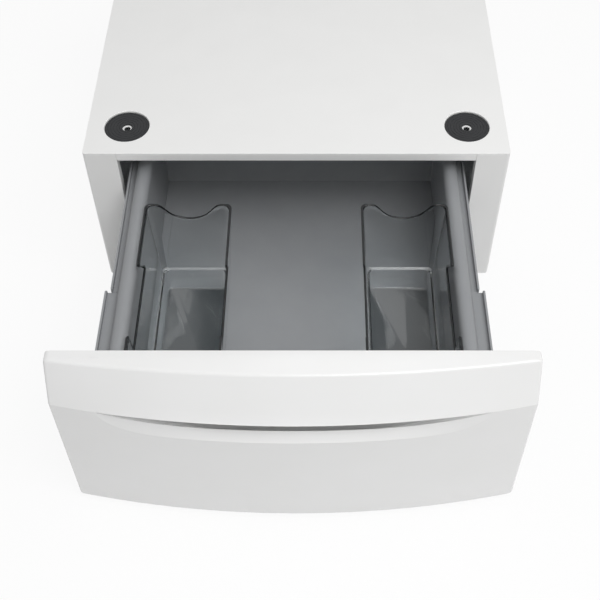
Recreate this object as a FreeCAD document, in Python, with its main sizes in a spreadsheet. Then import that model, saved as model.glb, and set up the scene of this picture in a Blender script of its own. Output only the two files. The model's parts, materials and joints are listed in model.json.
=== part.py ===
import FreeCAD, Part
import os
import re
import Sketcher
from FreeCAD import Vector

# Pedestal for a laundry machine, with one pull-out drawer on roller runners.
# Millimetres. X to the right, +Y to the back, +Z up. The origin lies on the floor, at the centre of
# the four feet. The drawer is drawn pulled out to its stop.

doc = FreeCAD.newDocument("washer_base")
sheet = doc.addObject("Spreadsheet::Sheet", "Sizes")

SIZES = {
    # cabinet
    "cabinet_width": 596,
    "cabinet_depth": 510,
    "base_height": 300,
    "foot_height": 43,
    "steel": 1.5,
    "fold_radius": 4,
    "flange_width": 47,
    "flange_return": 14,
    "rear_flange": 30,
    "floor_flange": 64,
    "top_flange": 22,
    "fit_gap": 0.3,
    "overrun": 5,
    # platform
    "seat_radius": 32,
    "seat_depth": 5,
    "seat_inset_x": 56,
    "seat_inset_y": 57,
    "seat_pad_thickness": 3,
    "seat_pad_hole_radius": 9,
    "hold_down_radius": 4.5,
    # back panel
    "bead_width": 36,
    "bead_depth": 6,
    "bead_spacing": 130,
    "bead_margin": 40,
    # cross rails
    "top_rail_height": 12,
    "top_rail_depth": 20,
    "floor_rail_height": 30,
    "floor_rail_width": 36,
    # levelling feet
    "foot_inset": 33,
    "foot_pad_radius": 22,
    "foot_pad_top_radius": 17.5,
    "foot_pad_height": 17,
    "foot_disc_radius": 13,
    "foot_disc_height": 8,
    "foot_disc_sink": 5,
    "stem_radius": 5,
    "stem_rise": 20,
    "thread_gap": 0.06,
    "stem_hole_gap": 0.6,
    "hex_across": 17,
    "hex_height": 9,
    "nut_height": 8,
    # roller runners
    "runner_space": 13,
    "runner_clearance": 8,
    "runner_steel": 1.2,
    "runner_rear_gap": 26,
    "runner_engagement": 153.5,
    "runner_setback": 4,
    "runner_rise": 9.5,
    "runner_play": 1,
    "roller_radius": 11.5,
    "roller_width": 8,
    "roller_inset": 20,
    "roller_gap": 0.3,
    "roller_pin_radius": 3,
    "roller_running_gap": 0.05,
    "pin_head_radius": 5,
    "pin_head": 0.8,
    "stop_height": 9,
    "stop_thickness": 3,
    "carrier_margin": 7,
    "carrier_foot": 14,
    # drawer box
    "drawer_rear_gap": 32.5,
    "drawer_floor_gap": 20,
    "drawer_wall": 2.5,
    "rail_width": 21,
    "rail_clearance": 40,
    "rail_skirt": 6,
    "rail_overhang": 4.5,
    "ledge_drop": 18,
    "ledge_width": 8.5,
    "rim_height": 7,
    "outer_leg_rise": 5.5,
    "floor_lip": 18,
    "rear_wall_drop": 30.5,
    "rear_rim": 7,
    "rib_thickness": 2,
    "rib_height": 8,
    "rib_margin": 12,
    "front_wall_drop": 4,
    # wide ledge brackets behind the drawer front
    "bracket_length": 128,
    "bracket_reach": 18,
    "bracket_drop": 46,
    "bracket_corner": 4,
    # drawer front
    "closing_gap": 2.5,
    "panel_bottom": 11,
    "panel_top_gap": 10,
    "panel_wall": 3,
    "band_height": 55,
    "top_end_depth": 14,
    "top_mid_depth": 36,
    "crease_end_depth": 41,
    "crease_mid_depth": 73,
    "bottom_end_depth": 38,
    "bottom_mid_depth": 73.5,
    "panel_edge_radius": 2.5,
    "panel_corner": 4,
    # finger pull under the upper band
    "grip_end_inset": 53,
    "grip_gap": 22,
    "grip_depth": 30,
    "grip_rise": 18,
    "grip_rise_depth": 11,
    "grip_rise_inset": 158,
    "grip_step": 1.5,
    "grip_well": 40,
    "scoop_height": 16,
    "scoop_depth": 7,
    "back_plate": 2,
    # bumpers on the back of the drawer front
    "bumper_radius": 6,
    "bumper_height": 70,
    # clear bins
    "bin_top_width": 120,
    "bin_length": 261,
    "bin_wall": 3,
    "bin_front_gap": 3,
    "bin_rise": 6,
    "bin_base_height": 41.5,
    "bin_ledge": 4,
    "bin_taper": 9,
    "bin_side_dip": 37,
    "bin_end_dip": 30,
    "bin_rear_shoulder": 110,
    "bin_wing_lean": 28,
    "bin_front_shoulder": 34,
    "bin_step_radius": 4,
    "bin_shoulder": 18,
    "bin_corner_radius": 6,
    # screws
    "screw_radius": 2,
    "screw_hole_gap": 0.1,
    "screw_head_radius": 4.2,
    "screw_head": 2.2,
    "screw_length": 9,
    "screw_inset": 14,
    "boss_radius": 6,
}

# Sizes that follow from the ones above.
DERIVED = {
    "seat_span_x": "cabinet_width - 2 * seat_inset_x",
    "seat_span_y": "cabinet_depth - 2 * seat_inset_y",
    "drawer_width": "cabinet_width - 2 * (flange_width + runner_clearance + runner_space)",
    "drawer_length": "cabinet_depth + closing_gap - drawer_rear_gap",
    "drawer_bottom": "foot_height + steel + floor_rail_height + drawer_floor_gap",
    "outer_leg_bottom": "drawer_bottom + outer_leg_rise",
    "runner_floor": "drawer_bottom + runner_rise",
    "runner_length": "cabinet_depth - runner_setback - runner_rear_gap",
    "open_travel": "drawer_length - runner_engagement",
    "rail_top": "base_height - rail_clearance",
    "ledge_height": "rail_top - ledge_drop",
    "front_wall_top": "rail_top - front_wall_drop",
    "rear_wall_top": "rail_top - rear_wall_drop",
    "panel_top": "base_height - panel_top_gap",
    "crease_height": "panel_top - band_height",
    "grip_half_width": "cabinet_width / 2 - grip_end_inset",
    "grip_rise_half_width": "cabinet_width / 2 - grip_rise_inset",
    "bin_top": "rail_top + bin_rise",
    "bin_ledge_height": "drawer_bottom + 2 * drawer_wall + bin_base_height",
}

for row, (alias, value) in enumerate(SIZES.items(), start=1):
    sheet.set(f"A{row}", alias)
    sheet.set(f"B{row}", str(value))
    sheet.setAlias(f"B{row}", alias)
doc.recompute()

# Places that several pieces share, written in the sizes above.
HALF = "cabinet_width / 2"
FRONT = "(-cabinet_depth / 2)"
BACK = "(cabinet_depth / 2)"
INNER = f"({HALF} - steel)"
PANEL_LOW = "foot_height"
PANEL_HIGH = "(base_height - steel)"
OPENING = f"({HALF} - flange_width)"
FOOT_X = f"({HALF} - foot_inset)"
FOOT_Y = f"({BACK} - foot_inset)"
SIDE_OUT = "(drawer_width / 2)"
RUNNER_OUT = f"({SIDE_OUT} + runner_space)"
TRACK = "(runner_floor + runner_steel)"
ROLLER_Z = f"({TRACK} + roller_gap + roller_radius)"
WING_LOW = f"({ROLLER_Z} + roller_radius + roller_gap)"
CHANNEL_HIGH = f"({WING_LOW} + 2 * runner_steel + runner_play)"
PANEL_BACK = f"({FRONT} - open_travel - closing_gap)"
BOX_FRONT = f"({PANEL_BACK} + drawer_wall)"
BOX_REAR = f"({PANEL_BACK} + drawer_length)"
SIDE_IN = f"({SIDE_OUT} - rail_width + rail_overhang)"
FLOOR_TOP = "(drawer_bottom + 2 * drawer_wall)"
RUNNER_FRONT = f"({FRONT} + runner_setback)"
FRONT_ROLLER_Y = f"({RUNNER_FRONT} + roller_inset)"
REAR_ROLLER_Y = f"({BOX_REAR} - roller_inset)"


def bound(text):
    """The expression with every size read from the sheet and every derived size written out."""
    def expand(word):
        name = word[0]
        if name in DERIVED:
            return f"({bound(DERIVED[name])})"
        return f"Sizes.{name}" if name in SIZES else name

    return re.sub(r"[a-z_]+", expand, text)


def number(text):
    """What an expression is worth now."""
    return float(sheet.evalExpression(bound(text)))


def new_body(label):
    body = doc.addObject("PartDesign::Body", label)
    body.Label = label
    return body


def place(thing, **axes):
    """Bind the placement of a piece, such as x="foot_inset"."""
    for axis, text in axes.items():
        thing.setExpression(f"Placement.Base.{axis}", bound(text))


def new_sketch(body, plane, level):
    """An empty sketch parallel to one of the body's own planes, at a bound distance along its normal."""
    sketch = body.newObject("Sketcher::SketchObject", "Outline")
    support = [f for f in body.Origin.OriginFeatures if f.Role == f"{plane}_Plane"][0]
    sketch.AttachmentSupport = [(support, "")]
    sketch.MapMode = "FlatFace"
    sketch.setExpression("AttachmentOffset.Base.z", bound(level))
    return sketch


def fix_point(sketch, curve, end, x, y):
    """Hold one point of a curve at two bound distances from the sketch's origin."""
    for kind, text in (("DistanceX", x), ("DistanceY", y)):
        index = sketch.addConstraint(Sketcher.Constraint(kind, -1, 1, curve, end, number(text)))
        sketch.setExpression(f"Constraints[{index}]", bound(text))


def outline(body, plane, level, points, arcs=None):
    """A closed outline through bound points. arcs maps a point's place in the list to the sagitta of
    the arc that leaves it: positive bulges to the left of the way it runs."""
    sketch = new_sketch(body, plane, level)
    spots = [Vector(number(x), number(y), 0) for x, y in points]
    arcs = arcs or {}
    starts = []
    for i, spot in enumerate(spots):
        after = spots[(i + 1) % len(spots)]
        if i in arcs:
            chord = after.sub(spot)
            left = Vector(-chord.y, chord.x, 0).normalize()
            middle = (spot + after) / 2 + left * number(arcs[i])
            curve = sketch.addGeometry(Part.Arc(spot, middle, after), False)
        else:
            curve = sketch.addGeometry(Part.LineSegment(spot, after), False)
        first, last = (sketch.getPoint(curve, end).distanceToPoint(spot) for end in (1, 2))
        starts.append((curve, 1, 2) if first < last else (curve, 2, 1))
    for i, (curve, first, last) in enumerate(starts):
        following = starts[(i + 1) % len(starts)]
        sketch.addConstraint(Sketcher.Constraint("Coincident", curve, last, following[0], following[1]))
    for i, (curve, first, last) in enumerate(starts):
        fix_point(sketch, curve, first, *points[i])
        if i in arcs:
            (ax, ay), (bx, by) = points[i], points[(i + 1) % len(points)]
            half_squared = f"((({bx}) - ({ax})) ^ 2 + (({by}) - ({ay})) ^ 2) / 4"
            radius = f"({half_squared} + ({arcs[i]}) ^ 2) / (2 * abs({arcs[i]}))"
            index = sketch.addConstraint(Sketcher.Constraint("Radius", curve, number(radius)))
            sketch.setExpression(f"Constraints[{index}]", bound(radius))
    return sketch


def circles(body, plane, level, centres, radius):
    """Equal circles about bound centres."""
    sketch = new_sketch(body, plane, level)
    for x, y in centres:
        spot = Vector(number(x), number(y), 0)
        curve = sketch.addGeometry(Part.Circle(spot, Vector(0, 0, 1), number(radius)), False)
        fix_point(sketch, curve, 3, x, y)
        index = sketch.addConstraint(Sketcher.Constraint("Radius", curve, number(radius)))
        sketch.setExpression(f"Constraints[{index}]", bound(radius))
    return sketch


def level_for(kind, plane, low, high):
    """Where the sketch of a pad or pocket stands, so that it fills low to high along the plane's axis.
    The XZ plane looks towards -Y, and a pocket cuts against its plane."""
    against = (kind == "Pocket") != (plane == "XZ")
    edge = high if against else low
    return f"-({edge})" if plane == "XZ" else edge


def extrude(body, kind, sketch, low, high):
    feature = body.newObject(f"PartDesign::{kind}", kind)
    feature.Profile = sketch
    feature.setExpression("Length", bound(f"({high}) - ({low})"))
    return feature


def pad(body, plane, points, low, high, arcs=None):
    sketch = outline(body, plane, level_for("Pad", plane, low, high), points, arcs)
    return extrude(body, "Pad", sketch, low, high)


def cut(body, plane, points, low, high, arcs=None):
    sketch = outline(body, plane, level_for("Pocket", plane, low, high), points, arcs)
    return extrude(body, "Pocket", sketch, low, high)


def pad_round(body, plane, centres, radius, low, high):
    sketch = circles(body, plane, level_for("Pad", plane, low, high), centres, radius)
    return extrude(body, "Pad", sketch, low, high)


def drill(body, plane, centres, radius, low, high):
    sketch = circles(body, plane, level_for("Pocket", plane, low, high), centres, radius)
    return extrude(body, "Pocket", sketch, low, high)


def loft(body, kind, sections, ruled=True):
    """A loft through sketches, added or taken away, with straight or smooth runs between them."""
    feature = body.newObject(f"PartDesign::{kind}Loft", "Loft")
    feature.Profile = sections[0]
    feature.Sections = sections[1:]
    feature.Ruled = ruled
    return feature


def turn(body, plane, points, axis):
    """A revolved half outline, about the sketch's H_Axis or V_Axis."""
    sketch = outline(body, plane, "0", points)
    feature = body.newObject("PartDesign::Revolution", "Turned")
    feature.Profile = sketch
    feature.ReferenceAxis = (sketch, [axis])
    return feature


def round_edges(body, radius, chosen):
    """Fillet the edges of the body that a test picks, at a bound radius."""
    doc.recompute()
    base = body.Tip
    names = [f"Edge{i}" for i, edge in enumerate(base.Shape.Edges, start=1) if chosen(edge)]
    feature = body.newObject("PartDesign::Fillet", "Fillet")
    feature.Base = (base, names)
    feature.setExpression("Radius", bound(radius))
    return feature


def near(value, text):
    return abs(value - number(text)) < number("fit_gap")


def along_z(edge, x, y):
    box = edge.BoundBox
    return near(box.XMin, x) and near(box.XMax, x) and near(box.YMin, y) and near(box.YMax, y)


def along_y(edge, x, z):
    box = edge.BoundBox
    return near(box.XMin, x) and near(box.XMax, x) and near(box.ZMin, z) and near(box.ZMax, z)


def rectangle(x0, y0, x1, y1):
    return [(x0, y0), (x1, y0), (x1, y1), (x0, y1)]


def rounded(x0, y0, x1, y1, radius):
    """A rectangle with round corners: its points and its arcs."""
    points = [(f"{x0} + {radius}", y0), (f"{x1} - {radius}", y0), (x1, f"{y0} + {radius}"),
              (x1, f"{y1} - {radius}"), (f"{x1} - {radius}", y1), (f"{x0} + {radius}", y1),
              (x0, f"{y1} - {radius}"), (x0, f"{y0} + {radius}")]
    return points, {corner: f"-({radius}) * (1 - sqrt(1 / 2))" for corner in (1, 3, 5, 7)}


def four(x, y):
    """The four places of a pattern that is the same on both sides of two axes."""
    return [(f"{sx}({x})", f"{sy}({y})") for sx in ("-", "") for sy in ("-", "")]


def mirrored(source, label):
    """The right-hand twin of a left-hand piece."""
    twin = doc.addObject("Part::Mirroring", label)
    twin.Label = label
    twin.Source = source
    twin.Normal = Vector(1, 0, 0)
    return twin


# Screws and rivets: a round head on one side of its seat and a shank on the other.
SCREW_HOLE = "(screw_radius + screw_hole_gap)"


def screws(label, plane, centres, seat, head_sign, length="screw_length"):
    """Screws or rivets whose heads stand on a seat; head_sign is the way from the seat to the head."""
    body = new_body(label)
    head_end = f"({seat} {head_sign} screw_head)"
    shank_end = f"({seat} {'-' if head_sign == '+' else '+'} ({length}))"
    low_head, high_head = (seat, head_end) if head_sign == "+" else (head_end, seat)
    low_shank, high_shank = (shank_end, seat) if head_sign == "+" else (seat, shank_end)
    pad_round(body, plane, centres, "screw_head_radius", low_head, high_head)
    pad_round(body, plane, centres, "screw_radius", low_shank, high_shank)
    return body


BACK_SCREWS = [(f"{side}({HALF} - rear_flange / 2)", height)
               for side in ("-", "")
               for height in (f"({PANEL_LOW} + bead_margin)", f"(({PANEL_LOW} + {PANEL_HIGH}) / 2)",
                              f"({PANEL_HIGH} - bead_margin)")]


# Cabinet side: one folded sheet with a broad front flange, a return, a rear flange and a floor fold.
def side_panel():
    body = new_body("left_side_panel")
    left, inner, edge = f"-({HALF})", f"-{INNER}", f"-{OPENING}"
    profile = [
        (left, BACK), (left, FRONT), (edge, FRONT), (edge, f"{FRONT} + flange_return"),
        (f"{edge} - steel", f"{FRONT} + flange_return"), (f"{edge} - steel", f"{FRONT} + steel"),
        (inner, f"{FRONT} + steel"), (inner, f"{BACK} - steel"),
        (f"{left} + rear_flange", f"{BACK} - steel"), (f"{left} + rear_flange", BACK),
    ]
    pad(body, "XY", profile, PANEL_LOW, PANEL_HIGH)
    fold = (f"{FRONT} + steel", f"{BACK} - steel")
    floor = rectangle(inner, fold[0], f"{left} + floor_flange", fold[1])
    pad(body, "XY", floor, PANEL_LOW, f"{PANEL_LOW} + steel")
    ceiling = rectangle(inner, fold[0], f"{left} + top_flange", fold[1])
    pad(body, "XY", ceiling, f"{PANEL_HIGH} - steel", PANEL_HIGH)
    drill(body, "XY", [(f"-{FOOT_X}", f"-{FOOT_Y}"), (f"-{FOOT_X}", FOOT_Y)], "stem_radius + stem_hole_gap",
          f"{PANEL_LOW} - overrun", f"{PANEL_LOW} + overrun")
    back_holes = [(x, z) for x, z in BACK_SCREWS if x.startswith("-")]
    drill(body, "XZ", back_holes, SCREW_HOLE, f"{BACK} - overrun", f"{BACK} + overrun")
    round_edges(body, "fold_radius", lambda e: along_z(e, left, FRONT) or along_z(e, left, BACK)
                or along_y(e, left, PANEL_LOW))
    round_edges(body, "fold_radius - steel", lambda e: along_z(e, inner, f"{FRONT} + steel")
                or along_z(e, inner, f"{BACK} - steel") or along_y(e, inner, f"{PANEL_LOW} + steel"))
    return body


# Back panel: a flat sheet inside the rear flanges, stiffened by upright pressed beads.
def back_panel():
    body = new_body("back_panel")
    low, high = f"{PANEL_LOW} + steel + fit_gap", f"{PANEL_HIGH} - steel - fit_gap"
    edge = f"({INNER} - fold_radius)"
    face = f"({BACK} - steel)"
    pad(body, "XZ", rectangle(f"-{edge}", low, edge, high), f"{face} - steel", face)
    for shift in ("- bead_spacing", "", "+ bead_spacing"):
        bead = rectangle(f"0 {shift} - bead_width / 2", f"{PANEL_LOW} + bead_margin",
                         f"0 {shift} + bead_width / 2", f"{PANEL_HIGH} - bead_margin")
        hollow = rectangle(f"0 {shift} - bead_width / 2 + steel", f"{PANEL_LOW} + bead_margin + steel",
                           f"0 {shift} + bead_width / 2 - steel", f"{PANEL_HIGH} - bead_margin - steel")
        pad(body, "XZ", bead, f"{face} - steel - bead_depth", f"{face} - steel")
        cut(body, "XZ", hollow, f"{face} - bead_depth", f"{face} + overrun")
    drill(body, "XZ", BACK_SCREWS, SCREW_HOLE, f"{face} - overrun", f"{face} + overrun")
    return body


SEATS = four("seat_span_x / 2", "seat_span_y / 2")


# Platform: a flat plate with four round pressed seats, each with a hold-down hole.
def top_plate():
    body = new_body("top_plate")
    pad(body, "XY", rectangle(f"-({HALF})", FRONT, HALF, BACK), "base_height - steel", "base_height")
    seat = "(base_height - seat_depth)"
    pad_round(body, "XY", SEATS, "seat_radius + steel", f"{seat} - steel", "base_height - steel")
    drill(body, "XY", SEATS, "seat_radius", seat, "base_height + overrun")
    drill(body, "XY", SEATS, "hold_down_radius", f"{seat} - overrun", "base_height")
    corners = [(f"-({HALF})", FRONT), (HALF, FRONT), (f"-({HALF})", BACK), (HALF, BACK)]
    round_edges(body, "fold_radius", lambda e: any(along_z(e, x, y) for x, y in corners))
    return body


def platform_pads():
    body = new_body("platform_pads")
    low = "base_height - seat_depth"
    pad_round(body, "XY", SEATS, "seat_radius - fit_gap", low, f"{low} + seat_pad_thickness")
    drill(body, "XY", SEATS, "seat_pad_hole_radius", f"{low} - overrun", f"{low} + overrun")
    return body


# Front top rail: a folded channel between the two front flanges, above the drawer.
def front_top_rail():
    body = new_body("front_top_rail")
    low, high, rear = f"({PANEL_HIGH} - top_rail_height)", PANEL_HIGH, f"({FRONT} + top_rail_depth)"
    profile = [
        (FRONT, low), (rear, low), (rear, f"{low} + steel"), (f"{FRONT} + steel", f"{low} + steel"),
        (f"{FRONT} + steel", f"{high} - steel"), (rear, f"{high} - steel"), (rear, high), (FRONT, high),
    ]
    pad(body, "YZ", profile, f"-{OPENING}", OPENING)
    return body


# Floor rails: channels open downwards, standing on the floor folds of both sides, over the feet.
def floor_rail(label, centre):
    body = new_body(label)
    low = f"({PANEL_LOW} + steel)"
    high = f"({low} + floor_rail_height)"
    front, rear = f"({centre} - floor_rail_width / 2)", f"({centre} + floor_rail_width / 2)"
    profile = [
        (front, low), (f"{front} + steel", low), (f"{front} + steel", f"{high} - steel"),
        (f"{rear} - steel", f"{high} - steel"), (f"{rear} - steel", low), (rear, low), (rear, high),
        (front, high),
    ]
    reach = f"({INNER} - fold_radius)"
    pad(body, "YZ", profile, f"-{reach}", reach)
    return body


def hexagon(across):
    """The six corners of a hexagon about the origin, by its width across flats."""
    half = f"({across} / 2)"
    corner = f"({across} / sqrt(3))"
    return [(corner, "0"), (f"{corner} / 2", half), (f"-{corner} / 2", half),
            (f"-{corner}", "0"), (f"-{corner} / 2", f"-{half}"), (f"{corner} / 2", f"-{half}")]


# Weld nuts on the floor folds, which hold the threaded feet.
def foot_nuts():
    body = new_body("foot_nuts")
    low = f"({PANEL_LOW} + steel)"
    for x, y in four(FOOT_X, FOOT_Y):
        corners = [(f"{x} + {a}", f"{y} + {b}") for a, b in hexagon("hex_across")]
        pad(body, "XY", corners, low, f"{low} + nut_height")
    drill(body, "XY", four(FOOT_X, FOOT_Y), "stem_radius + thread_gap", f"{low} - overrun",
          f"{low} + nut_height + overrun")
    return body


# Levelling foot: a threaded stem with a hexagon and a round disc, seated in a rubber pad.
def foot_stem(label, x, y):
    body = new_body(label)
    disc_low = "(foot_pad_height - foot_disc_sink)"
    disc_high = f"({disc_low} + foot_disc_height)"
    stem_high = f"{PANEL_LOW} + stem_rise"
    profile = [
        ("0", disc_low), ("foot_disc_radius", disc_low), ("foot_disc_radius", disc_high),
        ("stem_radius", disc_high), ("stem_radius", stem_high), ("0", stem_high),
    ]
    turn(body, "XZ", profile, "V_Axis")
    pad(body, "XY", hexagon("hex_across"), f"{PANEL_LOW} - fit_gap - hex_height", f"{PANEL_LOW} - fit_gap")
    place(body, x=x, y=y)
    return body


def foot_pad(label, x, y):
    body = new_body(label)
    profile = [
        ("0", "0"), ("foot_pad_radius", "0"), ("foot_pad_radius", "foot_disc_sink"),
        ("foot_pad_top_radius", "foot_pad_height"), ("foot_disc_radius + fit_gap", "foot_pad_height"),
        ("foot_disc_radius + fit_gap", "foot_pad_height - foot_disc_sink"),
        ("0", "foot_pad_height - foot_disc_sink"),
    ]
    turn(body, "XZ", profile, "V_Axis")
    place(body, x=x, y=y)
    return body


RUNNER_RIVET_SHARES = ("0.2", "0.5", "0.8")
RUNNER_RIVETS = [(f"({RUNNER_FRONT} + {share} * runner_length)", ROLLER_Z) for share in RUNNER_RIVET_SHARES]
CARRIER_LOW = "(runner_floor - carrier_margin)"
CARRIER_HIGH = f"({CHANNEL_HIGH} + carrier_margin)"


# Runner carrier: a hat-shaped bracket that brings the runner out to the line of the opening.
def runner_carrier():
    body = new_body("left_runner_carrier")
    face, wall = f"(-{RUNNER_OUT})", f"(-{INNER})"
    low, high = CARRIER_LOW, CARRIER_HIGH
    profile = [
        (face, low), (face, high), (f"{wall} + steel", high), (f"{wall} + steel", f"{high} + carrier_foot"),
        (wall, f"{high} + carrier_foot"), (wall, f"{high} - steel"), (f"{face} - steel", f"{high} - steel"),
        (f"{face} - steel", f"{low} + steel"), (wall, f"{low} + steel"), (wall, f"{low} - carrier_foot"),
        (f"{wall} + steel", f"{low} - carrier_foot"), (f"{wall} + steel", low),
    ]
    front = f"{FRONT} + flange_return + fit_gap"
    pad(body, "XZ", profile, front, f"{RUNNER_FRONT} + runner_length")
    drill(body, "YZ", RUNNER_RIVETS, SCREW_HOLE, f"{face} - overrun", f"{face} + overrun")
    return body


# Cabinet runner: a channel with a track for the drawer's rear roller and a stop behind its own roller.
def cabinet_runner():
    body = new_body("left_cabinet_runner")
    face, lip = f"(-{RUNNER_OUT})", f"(-{SIDE_OUT} - 2 * runner_steel)"
    low, high = "runner_floor", CHANNEL_HIGH
    profile = [
        (face, low), (lip, low), (lip, TRACK), (f"{face} + runner_steel", TRACK),
        (f"{face} + runner_steel", high), (lip, high), (lip, f"{high} + runner_steel"),
        (face, f"{high} + runner_steel"),
    ]
    pad(body, "XZ", profile, RUNNER_FRONT, f"{RUNNER_FRONT} + runner_length")
    stop_face = f"({REAR_ROLLER_Y} - roller_radius - roller_gap)"
    stop = rectangle(f"{face} + runner_steel", f"{stop_face} - stop_thickness", lip, stop_face)
    pad(body, "XY", stop, TRACK, f"{TRACK} + stop_height")
    drill(body, "YZ", RUNNER_RIVETS, SCREW_HOLE, f"{face} - overrun", f"{face} + overrun")
    return body


DRAWER_RIVET_SHARES = ("0.15", "0.45", "0.75")
DRAWER_RIVETS = [(f"({BOX_FRONT} + {share} * drawer_length)", f"({WING_LOW} - roller_radius)")
                 for share in DRAWER_RIVET_SHARES]


# Drawer runner: an angle on the drawer side whose wing rides on the cabinet's roller.
def drawer_runner():
    body = new_body("left_drawer_runner")
    face = f"(-{SIDE_OUT})"
    leg = f"({face} - runner_steel)"
    tip = f"(-{RUNNER_OUT} + runner_steel + runner_play)"
    high = f"({WING_LOW} + runner_steel)"
    profile = [
        (face, "runner_floor"), (leg, "runner_floor"), (leg, WING_LOW), (tip, WING_LOW), (tip, high),
        (face, high),
    ]
    pad(body, "XZ", profile, f"{BOX_FRONT} + fit_gap", BOX_REAR)
    drill(body, "YZ", DRAWER_RIVETS, SCREW_HOLE, f"{face} - overrun", f"{face} + overrun")
    return body


# Runner rollers: each turns on a headed pin.
ROLLER_FACES = f"({SIDE_OUT} + (runner_space - roller_width) / 2)"


def roller(label, y):
    body = new_body(label)
    near_face, far_face = f"(-{ROLLER_FACES})", f"(-{ROLLER_FACES} - roller_width)"
    bore, shoulder = "roller_pin_radius + roller_running_gap", "roller_radius - roller_gap"
    profile = [
        (near_face, bore), (near_face, shoulder), (f"{near_face} - roller_gap", "roller_radius"),
        (f"{far_face} + roller_gap", "roller_radius"), (far_face, shoulder), (far_face, bore),
    ]
    turn(body, "XY", profile, "H_Axis")
    place(body, y=y, z=ROLLER_Z)
    return body


def roller_pin(label, y, seat, head):
    """A pin from its seat face to a head beyond the roller."""
    body = new_body(label)
    sign = "+" if number(head) > number(seat) else "-"
    inner_head = f"({head} {'-' if sign == '+' else '+'} pin_head)"
    profile = [
        (seat, "0"), (seat, "roller_pin_radius"), (inner_head, "roller_pin_radius"),
        (inner_head, "pin_head_radius"), (head, "pin_head_radius"), (head, "0"),
    ]
    turn(body, "XY", profile, "H_Axis")
    place(body, y=y, z=ROLLER_Z)
    return body


# Drawer side: one profile with a rounded hollow rail, an outer ledge with a rim, two legs and a floor lip.
# The rail's arcs stay just under a half circle, so that they have a chord and a side.
RAIL_CROWN_SHARE = "0.98"


def drawer_side():
    body = new_body("left_drawer_side")
    out, inner = f"(-{SIDE_OUT})", f"(-{SIDE_IN})"
    rail_in = f"({out} + rail_width)"
    spring = "(rail_top - rail_width / 2)"
    skirt = f"({spring} - rail_skirt)"
    ledge, under = "ledge_height", "(ledge_height - drawer_wall)"
    rim_in, rim_out = f"({out} - ledge_width)", f"({out} - ledge_width - drawer_wall)"
    lip = f"({inner} + floor_lip)"
    lip_low, lip_high = "drawer_bottom", "(drawer_bottom + drawer_wall)"
    profile = [
        (out, "outer_leg_bottom"), (out, under), (rim_out, under), (rim_out, f"{ledge} + rim_height"),
        (rim_in, f"{ledge} + rim_height"), (rim_in, ledge), (out, ledge), (out, spring),
        (rail_in, spring), (rail_in, skirt), (inner, skirt), (inner, lip_high), (lip, lip_high),
        (lip, lip_low),
        (f"{inner} - drawer_wall", lip_low), (f"{inner} - drawer_wall", f"{skirt} + drawer_wall"),
        (f"{rail_in} - drawer_wall", f"{skirt} + drawer_wall"), (f"{rail_in} - drawer_wall", spring),
        (f"{out} + drawer_wall", spring), (f"{out} + drawer_wall", "outer_leg_bottom"),
    ]
    arcs = {7: f"{RAIL_CROWN_SHARE} * rail_width / 2",
            17: f"-{RAIL_CROWN_SHARE} * (rail_width / 2 - drawer_wall)"}
    pad(body, "XZ", profile, BOX_FRONT, BOX_REAR, arcs)
    bracket_rear = f"{PANEL_BACK} + bracket_length"
    ledge_cut = rectangle(f"{rim_out} - overrun", f"{BOX_FRONT} - overrun", out, bracket_rear)
    cut(body, "XY", ledge_cut, under, f"{ledge} + rim_height + overrun")
    drill(body, "YZ", DRAWER_RIVETS, SCREW_HOLE, f"{out} - overrun", f"{out} + overrun")
    return body


# Wide ledge bracket behind the drawer front, which ties the front to the side.
def front_bracket():
    body = new_body("left_front_bracket")
    out = f"(-{SIDE_OUT})"
    tip = f"({out} - bracket_reach)"
    ledge, under = "ledge_height", "(ledge_height - drawer_wall)"
    foot = f"({under} - bracket_drop)"
    rim, tip_in, out_in = f"{ledge} + rim_height", f"{tip} + drawer_wall", f"{out} - drawer_wall"
    profile = [
        (out, foot), (out, ledge), (tip_in, ledge), (tip_in, rim), (tip, rim),
        (tip, foot), (tip_in, foot), (tip_in, under), (out_in, under), (out_in, foot),
    ]
    rear = f"({PANEL_BACK} + bracket_length - fit_gap)"
    pad(body, "XZ", profile, BOX_FRONT, rear)
    round_edges(body, "bracket_corner", lambda e: near(e.BoundBox.YMin, rear) and near(e.BoundBox.YMax, rear)
                and near(e.BoundBox.ZMin, rim))
    return body


# Drawer floor, rear wall and front wall.
LONG_RIB_SHARES = ("-0.9", "-0.45", "0", "0.45", "0.9")
CROSS_RIB_SHARES = ("0.1", "0.36", "0.63", "0.9")


def drawer_floor():
    body = new_body("drawer_floor")
    edge = f"({SIDE_IN} - fit_gap)"
    under = "(drawer_bottom + drawer_wall)"
    pad(body, "XY", rectangle(f"-{edge}", BOX_FRONT, edge, BOX_REAR), under, FLOOR_TOP)
    # stiffening ribs below, inside the lips of the drawer sides
    reach = f"({SIDE_IN} - floor_lip - fit_gap)"
    half = "rib_thickness / 2"
    for share in LONG_RIB_SHARES:
        x = f"({share} * {reach})"
        rib = rectangle(f"{x} - {half}", f"{BOX_FRONT} + rib_margin",
                        f"{x} + {half}", f"{BOX_REAR} - rib_margin")
        pad(body, "XY", rib, f"{under} - rib_height", under)
    for share in CROSS_RIB_SHARES:
        y = f"({BOX_FRONT} + {share} * (drawer_length - drawer_wall))"
        rib = rectangle(f"-{reach}", f"{y} - {half}", reach, f"{y} + {half}")
        pad(body, "XY", rib, f"{under} - rib_height", under)
    return body


def drawer_rear_wall():
    body = new_body("drawer_rear_wall")
    edge = f"({SIDE_IN} - fit_gap)"
    wall = rectangle(f"-{edge}", FLOOR_TOP, edge, "rear_wall_top")
    pad(body, "XZ", wall, f"{BOX_REAR} - drawer_wall", BOX_REAR)
    rim = rectangle(f"-{edge}", "rear_wall_top - drawer_wall", edge, "rear_wall_top")
    pad(body, "XZ", rim, BOX_REAR, f"{BOX_REAR} + rear_rim")
    return body


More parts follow.
